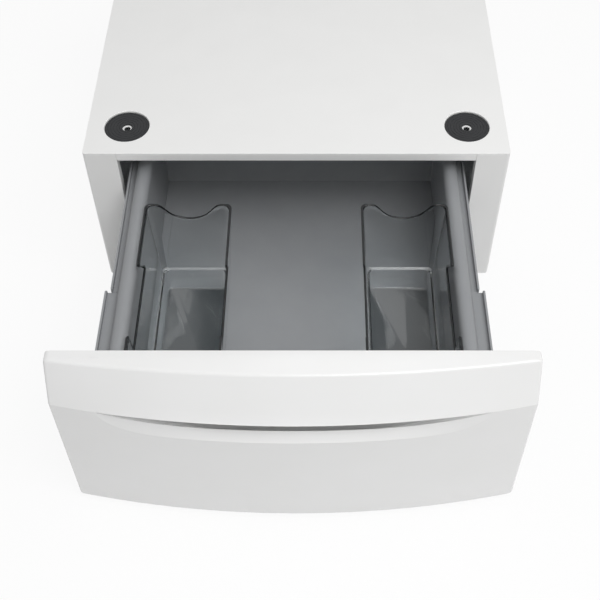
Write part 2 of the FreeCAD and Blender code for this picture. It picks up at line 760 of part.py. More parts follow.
GRIP_LOW = "(crease_height - grip_gap)"
SCOOP_LOW = f"({GRIP_LOW} - scoop_height)"
WELL_LOW = f"({GRIP_LOW} - grip_well)"
GRIP_SHARES = ("-0.99", "-0.8", "-0.45", "0", "0.45", "0.8", "0.99")
PANEL_SCREW_SHARES = ("0.12", "0.4")
PANEL_SCREWS = [(f"{side}(drawer_width * {share})", height)
                for side in ("-", "") for share in PANEL_SCREW_SHARES
                for height in ("(drawer_bottom + screw_inset)", f"({SCOOP_LOW} - screw_inset)")]


def drawer_front_wall():
    body = new_body("drawer_front_wall")
    edge = f"({SIDE_OUT} + bracket_reach)"
    pad(body, "XZ", rectangle(f"-{edge}", "drawer_bottom", edge, "front_wall_top"), PANEL_BACK, BOX_FRONT)
    drill(body, "XZ", PANEL_SCREWS, SCREW_HOLE, f"{PANEL_BACK} - overrun", f"{BOX_FRONT} + overrun")
    return body


# Drawer front: bowed in plan, with an upper band that leans out over the finger pull.
def bow(end_depth, mid_depth, back="0", half=HALF):
    """A plan outline, straight at the back and bowed at the front, and the arc that bows it."""
    points = [(f"-({half})", f"-({back})"), (f"-({half})", f"-({end_depth})"), (half, f"-({end_depth})"),
              (half, f"-({back})")]
    return points, {1: f"-(({mid_depth}) - ({end_depth}))"}


def bow_depth(x, end_depth, mid_depth, half=HALF):
    """How far the bowed face stands from the back plane at a place across the width."""
    sagitta = f"({mid_depth} - ({end_depth}))"
    radius = f"((({half}) ^ 2 + {sagitta} ^ 2) / (2 * {sagitta}))"
    return f"({mid_depth} - {radius} + sqrt({radius} ^ 2 - ({x}) ^ 2))"


def bowed_section(end_depth, mid_depth, inset):
    """A bowed plan outline with round front corners, drawn in by an inset."""
    half, end, middle = f"({HALF} - {inset})", f"({end_depth} - {inset})", f"({mid_depth} - {inset})"
    shoulder = f"({half} - panel_corner)"
    depth = bow_depth(shoulder, end, middle, half)
    points = [(f"-{half}", "0"), (f"-{half}", f"-({end} - panel_corner)"), (f"-{shoulder}", f"-{depth}"),
              (shoulder, f"-{depth}"), (half, f"-({end} - panel_corner)"), (half, "0")]
    corner = "-panel_corner * (1 - sqrt(1 / 2))"
    return points, {1: corner, 2: f"-({middle} - {depth})", 3: corner}


def fullness(x):
    """How full the finger pull is at a place across the width: 1 at the middle and 0 at its ends."""
    return f"(1 - ({x} / grip_half_width) ^ 2)"


def grip_places(x):
    """Depths of the lip, the back of the gap and its lower edge, and that edge's height."""
    lip = bow_depth(x, "crease_end_depth", "crease_mid_depth")
    back, edge = f"({lip} - grip_depth * {fullness(x)})", f"({lip} - scoop_depth * {fullness(x)})"
    return lip, back, edge, f"(crease_height - grip_gap * {fullness(x)})"


def front_panel():
    body = new_body("front_panel")
    # the top and bottom edges are rounded in steps of an eighth of a turn
    lean = "(panel_edge_radius / (panel_top - crease_height))"
    top_end = f"(top_end_depth + {lean} * (crease_end_depth - top_end_depth))"
    top_mid = f"(top_mid_depth + {lean} * (crease_mid_depth - top_mid_depth))"
    eighth = "(panel_edge_radius * (1 - sqrt(1 / 2)))"
    levels = (
        ("panel_top", top_end, top_mid, "panel_edge_radius"),
        (f"panel_top - {eighth}", top_end, top_mid, eighth),
        ("panel_top - panel_edge_radius", top_end, top_mid, "0"),
        ("crease_height", "crease_end_depth", "crease_mid_depth", "0"),
        ("panel_bottom + panel_edge_radius", "bottom_end_depth", "bottom_mid_depth", "0"),
        (f"panel_bottom + {eighth}", "bottom_end_depth", "bottom_mid_depth", eighth),
        ("panel_bottom", "bottom_end_depth", "bottom_mid_depth", "panel_edge_radius"),
    )
    sections = []
    for height, end_depth, mid_depth, inset in levels:
        points, arcs = bowed_section(end_depth, mid_depth, inset)
        sections.append(outline(body, "XY", height, points, arcs))
    loft(body, "Additive", sections)
    inside = f"({HALF} - panel_wall)"
    # hollow behind the lower face, behind the pull and behind the top edge
    hollows = (
        ("panel_bottom + panel_wall", f"{WELL_LOW} - panel_wall",
         "bottom_end_depth - panel_wall", "crease_mid_depth - panel_wall"),
        (f"{WELL_LOW} - panel_wall", "crease_height + grip_rise + panel_wall",
         "top_end_depth + panel_wall", "crease_mid_depth - grip_depth - panel_wall"),
        ("crease_height + grip_rise + panel_wall", "panel_top - panel_wall",
         "top_end_depth - panel_wall", "top_mid_depth - panel_wall"),
    )
    for low, high, end_depth, mid_depth in hollows:
        points, arcs = bow(end_depth, mid_depth, back="-overrun", half=inside)
        cut(body, "XY", points, low, high, arcs)
    for x, z in PANEL_SCREWS:
        reach = f"({bow_depth(x, 'bottom_end_depth', 'crease_mid_depth')} - panel_wall / 2)"
        pad_round(body, "XZ", [(x, z)], "boss_radius", f"-{reach}", "-back_plate")
    drill(body, "XZ", PANEL_SCREWS, SCREW_HOLE, "-screw_length", "overrun")
    # finger pull under the band: full at the middle, running out at both ends, with a scoop below it
    sections = []
    for share in GRIP_SHARES:
        x = f"({share} * grip_half_width)"
        lip, back, edge, low = grip_places(x)
        foot = f"({low} - scoop_height * {fullness(x)})"
        ahead = f"({lip} + overrun)"
        points = [(f"-{ahead}", "crease_height"), (f"-{back}", "crease_height"), (f"-{back}", low),
                  (f"-{edge}", low), (f"-({lip} + fit_gap)", foot), (f"-{ahead}", foot)]
        sections.append(outline(body, "YZ", x, points))
    loft(body, "Subtractive", sections, ruled=False)
    # room for the fingertips behind the band
    gap_back = "(crease_mid_depth - grip_depth)"
    rise_depth = f"({gap_back} + grip_rise_depth / 2)"
    rise = [("-grip_rise_half_width", f"-{rise_depth}"), ("grip_rise_half_width", f"-{rise_depth}")]
    cut(body, "XY", rise, GRIP_LOW, "crease_height + grip_rise",
        {0: "grip_rise_depth / 2 - grip_step", 1: "grip_rise_depth / 2"})
    # well behind the lower edge of the gap
    lip, back, edge, low = grip_places("grip_rise_half_width")
    well_back, well_front = f"({back} + grip_step)", f"({edge} - grip_step)"
    well = [("-grip_rise_half_width", f"-{well_back}"), ("grip_rise_half_width", f"-{well_back}"),
            ("grip_rise_half_width", f"-{well_front}"), ("-grip_rise_half_width", f"-{well_front}")]
    cut(body, "XY", well, WELL_LOW, f"{GRIP_LOW} + grip_gap / 2",
        {0: f"{well_back} - ({gap_back} + grip_step)",
         2: f"crease_mid_depth - scoop_depth - grip_step - {well_front}"})
    place(body, y=PANEL_BACK)
    return body


# Liner: a plate that closes the back of the drawer front, flush with its edges.
def panel_liner():
    body = new_body("panel_liner")
    edge = f"({HALF} - panel_wall - fit_gap)"
    low, high = "panel_bottom + panel_wall + fit_gap", "panel_top - panel_wall - fit_gap"
    pad(body, "XZ", rectangle(f"-{edge}", low, edge, high), f"{PANEL_BACK} - back_plate", PANEL_BACK)
    drill(body, "XZ", PANEL_SCREWS, SCREW_HOLE, f"{PANEL_BACK} - overrun", f"{PANEL_BACK} + overrun")
    return body


# Bumpers on the back of the drawer front, which meet the cabinet's flanges.
def closing_bumpers():
    body = new_body("closing_bumpers")
    places = [(f"{side}({HALF} - flange_width / 2)", height) for side in ("-", "")
              for height in ("(panel_bottom + bumper_height)", "(panel_top - bumper_height)")]
    pad_round(body, "XZ", places, "bumper_radius", PANEL_BACK, f"{PANEL_BACK} + closing_gap - fit_gap")
    return body


# Clear bin: tapered walls on a narrower base, with a dip in every rim.
BIN_WAVE_SHARE = "0.35"
BIN_STEP_SHARE = "0.8"


def clear_bin():
    body = new_body("left_bin")
    outer = f"(-({SIDE_OUT} - rail_width - fit_gap))"
    inner = f"({outer} + bin_top_width)"
    front, rear = f"({BOX_FRONT} + bin_front_gap)", f"({BOX_FRONT} + bin_front_gap + bin_length)"

    def ring(inset, radius):
        return rounded(f"{outer} + {inset}", f"{front} + {inset}", f"{inner} - {inset}", f"{rear} - {inset}",
                       radius)

    lower = "(bin_taper + bin_ledge)"
    core = f"({lower} + bin_wall)"
    core_radius = "(bin_corner_radius - bin_wall)"
    flare = "(bin_wall - bin_taper * overrun / (bin_top - bin_ledge_height))"
    walls = [("bin_ledge_height", "bin_taper"), ("bin_top", "0")]
    hollow = [("bin_ledge_height + bin_wall", "(bin_taper + bin_wall)"), ("bin_top + overrun", flare)]
    loft(body, "Additive", [outline(body, "XY", z, *ring(inset, "bin_corner_radius")) for z, inset in walls])
    points, arcs = ring(lower, core_radius)
    pad(body, "XY", points, FLOOR_TOP, "bin_ledge_height", arcs)
    loft(body, "Subtractive", [outline(body, "XY", z, *ring(inset, core_radius)) for z, inset in hollow])
    points, arcs = ring(core, core_radius)
    cut(body, "XY", points, f"{FLOOR_TOP} + bin_wall", "bin_ledge_height + bin_wall + overrun", arcs)
    sky = "(bin_top + overrun)"
    # the long walls step down between their tall ends, with rounded corners under wings that lean forward
    side_low = "(bin_top - bin_side_dip)"
    rear_step, front_step = f"({rear} - bin_rear_shoulder)", f"({front} + bin_front_shoulder)"
    rear_foot = f"({rear_step} + bin_wing_lean)"
    bend = f"({BIN_STEP_SHARE} * bin_step_radius * (1 - sqrt(1 / 2)))"
    side_dip = [
        (f"{rear_step} + bin_step_radius", sky), (f"{rear_step} + bin_step_radius", "bin_top"),
        (rear_step, "bin_top - bin_step_radius"), (rear_foot, f"{side_low} + bin_step_radius"),
        (f"{rear_foot} - bin_step_radius", side_low), (f"{front_step} + bin_step_radius", side_low),
        (front_step, f"{side_low} + bin_step_radius"), (front_step, "bin_top - bin_step_radius"),
        (f"{front_step} - bin_step_radius", "bin_top"), (f"{front_step} - bin_step_radius", sky),
    ]
    cut(body, "YZ", side_dip, f"{outer} - overrun", f"{inner} + overrun",
        {1: f"-{bend}", 3: bend, 5: bend, 7: f"-{bend}"})
    # the end walls dip in a wave: an arc over each shoulder and a deeper one between them
    centre = f"(({outer} + {inner}) / 2)"
    reach = "(bin_top_width / 2 - bin_shoulder)"
    turn_at, turn_level = f"({reach} * (1 - {BIN_WAVE_SHARE}))", f"(bin_top - {BIN_WAVE_SHARE} * bin_end_dip)"
    slant = f"sqrt({reach} ^ 2 + bin_end_dip ^ 2)"
    crown = f"({BIN_WAVE_SHARE} * {slant} / 2 * bin_end_dip / ({reach} + {slant}))"
    end_dip = [
        (f"{centre} - {reach}", "bin_top"), (f"{centre} - {turn_at}", turn_level),
        (f"{centre} + {turn_at}", turn_level), (f"{centre} + {reach}", "bin_top"),
        (f"{centre} + {reach}", sky), (f"{centre} - {reach}", sky),
    ]
    cut(body, "XZ", end_dip, f"{front} - overrun", f"{rear} + overrun",
        {0: crown, 1: f"-((1 - {BIN_WAVE_SHARE}) * bin_end_dip)", 2: crown})
    return body


left_side = side_panel()
left_carrier = runner_carrier()
left_cabinet_runner = cabinet_runner()
left_drawer_runner = drawer_runner()
left_drawer_side = drawer_side()
left_bracket = front_bracket()
left_bin = clear_bin()
left_front_roller = roller("left_front_roller", FRONT_ROLLER_Y)
left_rear_roller = roller("left_rear_roller", REAR_ROLLER_Y)
left_front_pin = roller_pin("left_front_roller_pin", FRONT_ROLLER_Y, f"(-{RUNNER_OUT} + runner_steel)",
                            f"(-{ROLLER_FACES} + pin_head + fit_gap)")
left_rear_pin = roller_pin("left_rear_roller_pin", REAR_ROLLER_Y, f"(-{SIDE_OUT} - runner_steel)",
                           f"(-{ROLLER_FACES} - roller_width - pin_head - fit_gap)")
left_runner_rivets = screws("left_runner_rivets", "YZ", RUNNER_RIVETS, f"(-{RUNNER_OUT} - steel)", "-",
                            "steel + runner_steel")
left_drawer_rivets = screws("left_drawer_rivets", "YZ", DRAWER_RIVETS, f"(-{SIDE_OUT} + drawer_wall)", "+",
                            "drawer_wall + runner_steel")
left_hand = [left_side, left_carrier, left_cabinet_runner, left_drawer_runner, left_drawer_side, left_bracket,
             left_bin, left_front_roller, left_rear_roller, left_front_pin, left_rear_pin, left_runner_rivets,
             left_drawer_rivets]
right_hand = [mirrored(piece, piece.Label.replace("left_", "right_", 1)) for piece in left_hand]

single = [
    back_panel(), top_plate(), platform_pads(), front_top_rail(),
    floor_rail("front_floor_rail", f"(-{FOOT_Y})"), floor_rail("rear_floor_rail", FOOT_Y),
    foot_nuts(), drawer_floor(), drawer_rear_wall(), drawer_front_wall(), front_panel(), panel_liner(),
    closing_bumpers(),
    screws("back_panel_screws", "XZ", BACK_SCREWS, BACK, "+"),
    screws("drawer_front_screws", "XZ", PANEL_SCREWS, BOX_FRONT, "+"),
]

feet = []
for end, y in (("front", f"(-{FOOT_Y})"), ("rear", FOOT_Y)):
    for hand, x in (("left", f"(-{FOOT_X})"), ("right", FOOT_X)):
        feet.append(foot_stem(f"{end}_{hand}_foot_stem", x, y))
        feet.append(foot_pad(f"{end}_{hand}_foot_pad", x, y))

doc.recompute()
pieces = left_hand + right_hand + single + feet
for thing in doc.Objects:
    if "Invalid" in thing.State or "Error" in thing.State:
        raise RuntimeError(f"{thing.Label} ({thing.Name}) did not compute: {thing.State}")
for piece in pieces:
    if piece.Shape.isNull() or not piece.Shape.isValid():
        raise RuntimeError(f"{piece.Label} has no valid shape")

os.makedirs("parts", exist_ok=True)
for piece in pieces:
    piece.Shape.exportStep(f"parts/{piece.Label}.step")
    print(piece.Label, len(piece.Shape.Solids), round(piece.Shape.Volume))
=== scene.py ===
"""A white pedestal with its drawer pulled out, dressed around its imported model.

Metres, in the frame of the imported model: X to the right, +Y to the back, Z up from the floor.
"""
import json
import math
from collections import namedtuple

import bmesh
import bpy
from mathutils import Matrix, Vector


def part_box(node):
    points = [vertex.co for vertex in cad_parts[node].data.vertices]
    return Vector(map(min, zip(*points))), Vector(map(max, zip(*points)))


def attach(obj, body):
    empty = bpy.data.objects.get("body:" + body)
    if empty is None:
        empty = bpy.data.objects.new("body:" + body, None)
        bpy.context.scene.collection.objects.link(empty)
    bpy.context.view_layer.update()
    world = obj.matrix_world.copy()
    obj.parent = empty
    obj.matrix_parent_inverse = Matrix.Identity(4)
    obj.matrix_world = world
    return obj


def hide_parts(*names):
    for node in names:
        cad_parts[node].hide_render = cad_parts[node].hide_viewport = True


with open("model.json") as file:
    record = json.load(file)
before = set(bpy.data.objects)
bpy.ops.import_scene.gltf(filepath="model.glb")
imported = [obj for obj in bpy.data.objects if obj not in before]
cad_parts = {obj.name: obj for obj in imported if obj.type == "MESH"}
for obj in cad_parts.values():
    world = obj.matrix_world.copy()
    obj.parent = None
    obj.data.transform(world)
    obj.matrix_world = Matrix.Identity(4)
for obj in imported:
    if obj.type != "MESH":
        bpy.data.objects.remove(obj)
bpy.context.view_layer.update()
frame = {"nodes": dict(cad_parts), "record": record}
nodes = frame["nodes"]
MM = 0.001

# Sizes of the drawer front in millimetres, measured forward from its flat back and up from the floor. A pair
# of depths is for the ends and the middle of the bow.
PANEL_LOW, PANEL_HIGH = (corner.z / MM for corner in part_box("front_panel"))
PANEL_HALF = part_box("front_panel")[1].x / MM
PANEL_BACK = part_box("panel_liner")[1].y / MM
CREASE = 235
TOP_DEPTHS = (14, 36)
CREASE_DEPTHS = (41, 73)
BOTTOM_DEPTHS = (42, 73.5)
PANEL_EDGE_RADIUS = 2.5
PANEL_CORNER_RADIUS = 4
PANEL_END_RADIUS = 5
PANEL_RIM = 3
RIM_SLOPE = 0.2
LINER_RECESS = 2.4
FRONT_COLUMNS = 180
# Places of the rows of faces, as shares of the way down the upper band, the scoop and the lower face.
BAND_ROWS = (0.25, 0.5, 0.75, 0.95)
SCOOP_ROWS = (0.15, 0.3, 0.5, 0.7, 0.9, 0.97, 1)
LOWER_ROWS = (0.006, 0.03, 0.3, 0.5, 0.8)

# Sizes of the finger pull in millimetres, and how evenly its depth, its dark gap and the bright strip under
# it run across the width before they end.
GRIP_HALF = 245
GRIP_GAP = 28.5
GRIP_DEPTH = 30
GRIP_EDGE_RADIUS = 1.2
GRIP_FADE = 0.1
LIP_RADIUS = 1.6
LIP_FLAT = 0.6
CREASE_BAND = 3
FINGERTIP_HALF = 235
FINGERTIP_RISE = 18
FINGERTIP_ROOM = 11
WELL_DEPTH = 40
WELL_FADE_HALF = 20
RIDGE = 1.5
SCOOP_HEIGHT = 9.5
SCOOP_DEPTH = 11
DEPTH_EVENNESS = 2.3
GAP_EVENNESS = 3.1
STRIP_EVENNESS = 10
# A quarter round from the face to the underside, as shares of its radius (inwards, upwards).
QUARTER_ROUND = ((0, 1), (0.08, 0.62), (0.29, 0.29), (0.62, 0.08), (1, 0))

# Sizes of the clear bins in millimetres.
BIN_WALL = 3
BIN_CORNER_RADIUS = 8
BIN_TAPER = 9
BIN_LEDGE_HEIGHT = 141
BIN_LEDGE = 4
BIN_EDGE_RADIUS = 1.1
BIN_SIDE_DIP = 37
BIN_STEP_RADIUS = 4
BIN_WING = 110
BIN_WING_LEAN = 28
BIN_WING_ROOT = 2
BIN_FRONT_SHOULDER = 34
BIN_END_DIP = 25
BIN_END_SHOULDER = 12.5
BIN_WAVE_ROUND = 0.8
# Columns of faces along a long wall's front shoulder, dip and wing, along an end wall and round a corner,
# rows up the walls as shares, and the share of its radius that an edge is cut by halfway round.
SHOULDER_COLUMNS, DIP_COLUMNS, WING_COLUMNS = 3, 12, 9
END_COLUMNS = 40
CORNER_COLUMNS = 6
UPPER_ROWS = (0.4, 0.8, 1)
RIM_ROUND = 0.3

# Sizes of the screws and rivets in millimetres, with shares of the radius, the pitch and the head's height.
TURN_SIDES = 36
SCREW_RADIUS = 2
SCREW_PITCH = 1.4
SCREW_TIP = 0.2
SCREW_POINT, SCREW_CORE = 0.5, 0.8
SCREW_VALLEY, SCREW_CREST = 0.3, 0.6
NECK = 0.1
HEAD_RADIUS = 4.2
HEAD_HEIGHT = 2.2
SCREW_RIM, RIVET_RIM = 0.35, 0.2
HEAD_ROWS = (0.97, 0.88, 0.72, 0.56, 0.52, 0.4, 0.28, 0.18, 0.06)
CROSS_HALF_WIDTH = 0.55
CROSS_REACH = 0.54
CROSS_DEPTH = 0.9
RIVET_TIP = 0.3
RIVET_CHAMFER = 0.4
RIVET_DOME = (15, 30, 45, 60, 75, 86)

# Sizes of the feet in millimetres. The pad's outlines are steps (outwards, upwards) from its widest radius
# and the sole, from a groove's middle, and from the lip's outer and inner edge.
STEM_RADIUS = 5
STEM_TIP = 0.5
STEM_CHAMFER = 1
THREAD_PITCH = 1.5
THREAD_DEPTH = 0.55
THREAD_STEPS = 6
THREAD_CLEAR = 0.5
THREAD_START = 0.3
DISC_HEIGHT = 8
DISC_ROUND = 2
HEX_ACROSS = 17
HEX_HEIGHT = 9
HEX_TOP = 42.7
HEX_CHAMFER = 0.4
HEX_BULGE = 0.3
HEX_FULL = 1.1
PAD_SIDES = 60
PAD_FOOT = 5
PAD_SEAT = 12
PAD_SEAT_RADIUS = 13.3
PAD_TOP_RADIUS = 17.5
SOLE_RINGS = (4, 8, 12, 16)
SOLE_DEPTH = 0.6
SOLE_SLOPE = 0.5
SOLE_LAND = 1.5
PAD_ROUND = ((-1.5, 0), (-0.4, 0.4), (0, 1.5), (0, PAD_FOOT - 1), (-0.4, PAD_FOOT))
PAD_GROOVE_ROWS = (0.25, 0.5, 0.75)
PAD_GROOVE = ((0.2, -0.9), (-0.6, -0.5), (-0.8, 0.2), (0, 0.5))
PAD_LIP_OUTER = ((0.3, -0.8), (-0.6, 0))
PAD_LIP_INNER = ((0.7, 0), (0, -0.7))

# Sizes of the rollers, the platform pads and the bumpers in millimetres.
ROLLER_BORE = 3.05
ROLLER_HUB = 5
ROLLER_DISH = 1
ROLLER_SLOPE = 0.5
ROLLER_RIM = 2
ROLLER_SHOULDER = ((-0.8, 0), (-0.2, -0.6))
ROLLER_CROWN = 0.5
PLATFORM_HOLE = 7
PLATFORM_EDGE = 0.7
PLATFORM_GROOVES = 5
GROOVE_MARGIN = 4
GROOVE_DEPTH = 0.6
GROOVE_HALF, GROOVE_FLOOR_HALF = 0.8, 0.5
BUMPER_TIP = 0.3
BUMPER_RIM = 0.35
BUMPER_DOME = (20, 40, 60, 75, 88)

# Nodes that keep their shape: the radii in millimetres of their bends and of their broken edges, the rows of
# faces of each, and the angle from which an edge is sharp and the width of face from which it is a bend.
SHARP_ANGLE = math.radians(30)
FLAT_ANGLE = math.radians(0.5)
WELD = 0.002
BEND_LEAST = 4
BEND_ROWS, EDGE_ROWS = 3, 2
SOFT_EDGES = {
    "back_panel": (1.2, 0.3), "top_plate": (1.5, 0.4), "front_top_rail": (1.2, 0.3),
    "front_floor_rail": (1.2, 0.3), "rear_floor_rail": (1.2, 0.3), "foot_nuts": (0.5, 0.3),
    "drawer_floor": (0.6, 0.4), "drawer_rear_wall": (0.8, 0.5), "drawer_front_wall": (0.8, 0.5),
    "panel_liner": (0.6, 0.4),
}
for hand in ("left", "right"):
    SOFT_EDGES |= {f"{hand}_side_panel": (1.5, 0.3), f"{hand}_runner_carrier": (0.8, 0.3),
                   f"{hand}_cabinet_runner": (0.8, 0.3), f"{hand}_drawer_runner": (0.8, 0.3),
                   f"{hand}_drawer_side": (0.8, 0.5), f"{hand}_front_bracket": (0.8, 0.4),
                   f"{hand}_front_roller_pin": (0.3, 0.2), f"{hand}_rear_roller_pin": (0.3, 0.2)}

# Stage: metres, watts, degrees and the picture's pixels. A lamp has a place, a target, a size and a power.
FLOOR_HALF = 6
FLOOR_PATCH_MM = 400
FLOOR_GLOW = 0.9
SHADOW_REACH = 0.9
WORLD_LIGHT = 0.33
LAMPS = {
    "front_right": ((0.85, -1.52, 2.5), (0, -0.4, 0.2), (2, 1.2), 42.5),
    "overhead": ((0.1, -0.2, 2.6), (0, -0.3, 0.2), (1.6, 1.6), 9),
}
PHOTO_SIZE = 600
FOCAL_PIXELS = 1029
PRINCIPAL_X = 318
SENSOR_MM = 36
CAMERA_PITCH = 51.4
CAMERA_PLACE = (0.03, -1.305, 1.29)
CAMERA_REACH = 50


def mix(a, b, share):
    return a + (b - a) * share


def ease(low, high, value):
    """A smooth rise from 0 at low to 1 at high."""
    share = min(1, max(0, (value - low) / (high - low)))
    return share * share * (3 - 2 * share)


def evenly(low, high, count):
    """Places between two ends, without the ends."""
    return [mix(low, high, (step + 1) / (count + 1)) for step in range(count)]


# Materials

# What a tone, a gloss, a relief or the edge tone of wear and painted light follows over a surface: patches of
# a size in millimetres, with finer layers in them of some strength, or crystals with sharp borders.
Pattern = namedtuple("Pattern", "size layers strength crystals", defaults=(2, 0.5, False))
# How far the rounded direction of an edge or crease turns from the plain one, as a cosine, where the edge
# tone of wear and painted light begins and ends.
EDGE_TONE_BEGINS, EDGE_TONE_FULL = 0.98, 0.85


def linear(hex_colour):
    """An sRGB hex colour as linear RGBA."""
    channels = [int(hex_colour[i:i + 2], 16) / 255 for i in (1, 3, 5)]
    return [c / 12.92 if c <= 0.04045 else ((c + 0.055) / 1.055) ** 2.4 for c in channels] + [1]


def add(tree, kind, inputs=None, **settings):
    """A node with its settings, and its inputs set to a value or linked to another node's socket."""
    node = tree.nodes.new(kind)
    for name, value in settings.items():
        setattr(node, name, value)
    for key, value in (inputs or {}).items():
        if isinstance(value, bpy.types.NodeSocket):
            tree.links.new(value, node.inputs[key])
        else:
            node.inputs[key].default_value = value
    return node


def per_metre(size_mm):
    """The texture scale that makes one feature about as large as a size in millimetres."""
    return 1 / (size_mm * MM)


def new_material(name):
    material = bpy.data.materials.new(name)
    material.use_nodes = True
    material.node_tree.nodes.clear()
    return material, material.node_tree


def finish(name, shader, tones, gloss, relief=None, edge_wear_and_light=None, through=None):
    """A material whose tone, gloss, relief and wear each follow a pattern, the last value of each.

    shader holds the inputs that are the same all over, tones two colours, gloss two roughnesses, relief a
    depth in millimetres and a strength, and the edge tone a colour, the most of it that shows and a width
    along the edges in millimetres. The edge tone lies on edges and inner creases alike and is partly wear and
    partly painted
    light: a painted highlight where it is paler, painted shade where it is darker. through is the colour of
    the light that falls through a clear wall.
    """
    material, tree = new_material(name)
    place = add(tree, "ShaderNodeTexCoord").outputs["Object"]
    drift = {}
    for pattern in dict.fromkeys(use[-1] for use in (tones, gloss, relief, edge_wear_and_light) if use):
        texture = {"Vector": place, "Scale": per_metre(pattern.size)}
        if pattern.crystals:
            cells = add(tree, "ShaderNodeTexVoronoi", texture).outputs["Color"]
            drift[pattern] = add(tree, "ShaderNodeRGBToBW", {"Color": cells}).outputs["Val"]
        else:
            texture |= {"Detail": pattern.layers, "Roughness": pattern.strength}
            drift[pattern] = add(tree, "ShaderNodeTexNoise", texture).outputs["Fac"]

    first, second, pattern = tones
    colour = add(tree, "ShaderNodeMix", {0: drift[pattern], 6: linear(first), 7: linear(second)},
                 data_type="RGBA").outputs[2]
    # Painted light along edges: the rounded normal marks edges and inner creases alike, and the tone laid
    # there is partly wear, partly a painted highlight where paler and painted shade where darker.
    if edge_wear_and_light:
        edge_tone_colour, most, width, pattern = edge_wear_and_light
        rounded = add(tree, "ShaderNodeBevel", {"Radius": width * MM}, samples=4).outputs["Normal"]
        plain = add(tree, "ShaderNodeNewGeometry").outputs["Normal"]
        along = add(tree, "ShaderNodeVectorMath", {0: rounded, 1: plain}, operation="DOT_PRODUCT")
        edge = add(tree, "ShaderNodeMapRange", {
            "Value": along.outputs["Value"], "From Min": EDGE_TONE_BEGINS, "From Max": EDGE_TONE_FULL, "To Max": most})
        share = add(tree, "ShaderNodeMath", {0: edge.outputs["Result"], 1: drift[pattern]},
                    operation="MULTIPLY").outputs[0]
        colour = add(tree, "ShaderNodeMix", {0: share, 6: colour, 7: linear(edge_tone_colour)},
                     data_type="RGBA").outputs[2]

    low, high, pattern = gloss
    roughness = add(tree, "ShaderNodeMapRange", {"Value": drift[pattern], "To Min": low, "To Max": high})
    inputs = shader | {"Base Color": colour, "Roughness": roughness.outputs["Result"]}
    if relief:
        depth, strength, pattern = relief
        inputs["Normal"] = add(tree, "ShaderNodeBump", {
            "Height": drift[pattern], "Distance": depth * MM, "Strength": strength}).outputs["Normal"]
    surface = add(tree, "ShaderNodeBsdfPrincipled", inputs)
    if through:
        dimmed = add(tree, "ShaderNodeBsdfTransparent", {"Color": linear(through)})
        falling = add(tree, "ShaderNodeLightPath").outputs["Is Shadow Ray"]
        surface = add(tree, "ShaderNodeMixShader", {0: falling, 1: surface.outputs[0], 2: dimmed.outputs[0]})
    add(tree, "ShaderNodeOutputMaterial", {"Surface": surface.outputs[0]})
    return material


FINISHES = {
    # Sheet steel, sprayed and baked: a satin white skin with a faint orange peel, greyer along its edges and
    # creases, partly wear and partly painted shade.
    "white_enamelled_steel": finish(
        "white_enamel_on_sheet_steel", {"IOR": 1.5},
        tones=("#F4F4F3", "#F0F0EF", Pattern(60)), gloss=(0.3, 0.38, Pattern(25)),
        relief=(0.02, 0.5, Pattern(2.5)), edge_wear_and_light=("#C9C9C6", 0.3, 0.8, Pattern(9, 4))),
    # ABS from a polished mould: a clean gloss with very long, shallow flow waves, dulled in patches by
    # handling, and greyer along its edges and creases, partly wear and partly painted shade.
    "white_gloss_plastic": finish(
        "white_gloss_moulded_abs", {"IOR": 1.53},
        tones=("#F2F2F2", "#EEEEED", Pattern(90)), gloss=(0.18, 0.28, Pattern(30, 5, 0.6)),
        relief=(0.12, 0.35, Pattern(70, 1)), edge_wear_and_light=("#DCDCD9", 0.2, 0.6, Pattern(12, 4))),
    # Polypropylene from a spark-eroded mould: a soft sheen over a fine grain, paler along its edges and
    # creases, partly wear and partly a painted highlight. The real grain is about 0.4 mm, drawn here at 0.9
    # mm so that it shows.
    "grey_moulded_plastic": finish(
        "grey_grained_moulded_polypropylene", {"IOR": 1.49},
        tones=("#939597", "#8C8E91", Pattern(35, 3)), gloss=(0.4, 0.5, Pattern(12)),
        relief=(0.05, 0.6, Pattern(0.9, 3)), edge_wear_and_light=("#B4B6B8", 0.6, 0.9, Pattern(7, 4))),
    # SAN from a polished mould: water clear, with soft waves that bend what stands behind it, a bright gloss
    # and a thin, pale shadow.
    "clear_moulded_plastic": finish(
        "clear_moulded_san", {"IOR": 1.57, "Transmission Weight": 1},
        tones=("#FCFDFD", "#F8FAFA", Pattern(80)), gloss=(0.01, 0.05, Pattern(14, 5)),
        relief=(0.05, 0.4, Pattern(45, 1)), through="#DFE2E3"),
    # Bright zinc on steel: a grey metal with soft, uneven crystals a few millimetres across, darker along its
    # edges and creases, partly wear and partly painted shade.
    "zinc_plated_steel": finish(
        "bright_zinc_plate_on_steel", {"Metallic": 1},
        tones=("#BFC2C5", "#CDD0D2", Pattern(4, crystals=True)), gloss=(0.28, 0.4, Pattern(4, crystals=True)),
        relief=(0.01, 0.4, Pattern(1.2)), edge_wear_and_light=("#96979A", 0.7, 0.5, Pattern(4, 4))),
    # Turned nylon: a warm white with a waxy sheen that lets a little light in, greyer along its edges and
    # creases, partly wear and partly painted shade.
    "white_nylon": finish(
        "natural_nylon", {"IOR": 1.53, "Subsurface Weight": 0.1, "Subsurface Radius": (0.002, 0.002, 0.0018)},
        tones=("#EAE7DE", "#E3E0D6", Pattern(6)), gloss=(0.35, 0.45, Pattern(3)),
        edge_wear_and_light=("#BDBAB2", 0.6, 0.5, Pattern(3, 4))),
    # Pressed EPDM rubber: matt black with a dusty bloom, paler along its edges and creases, partly wear and
    # partly a painted highlight.
    "black_rubber": finish(
        "black_epdm_rubber", {"IOR": 1.5},
        tones=("#1A1B1C", "#26272A", Pattern(8, 4)), gloss=(0.7, 0.85, Pattern(4)),
        relief=(0.06, 0.7, Pattern(0.8, 3)), edge_wear_and_light=("#4A4B4D", 0.7, 0.6, Pattern(4, 4))),
}
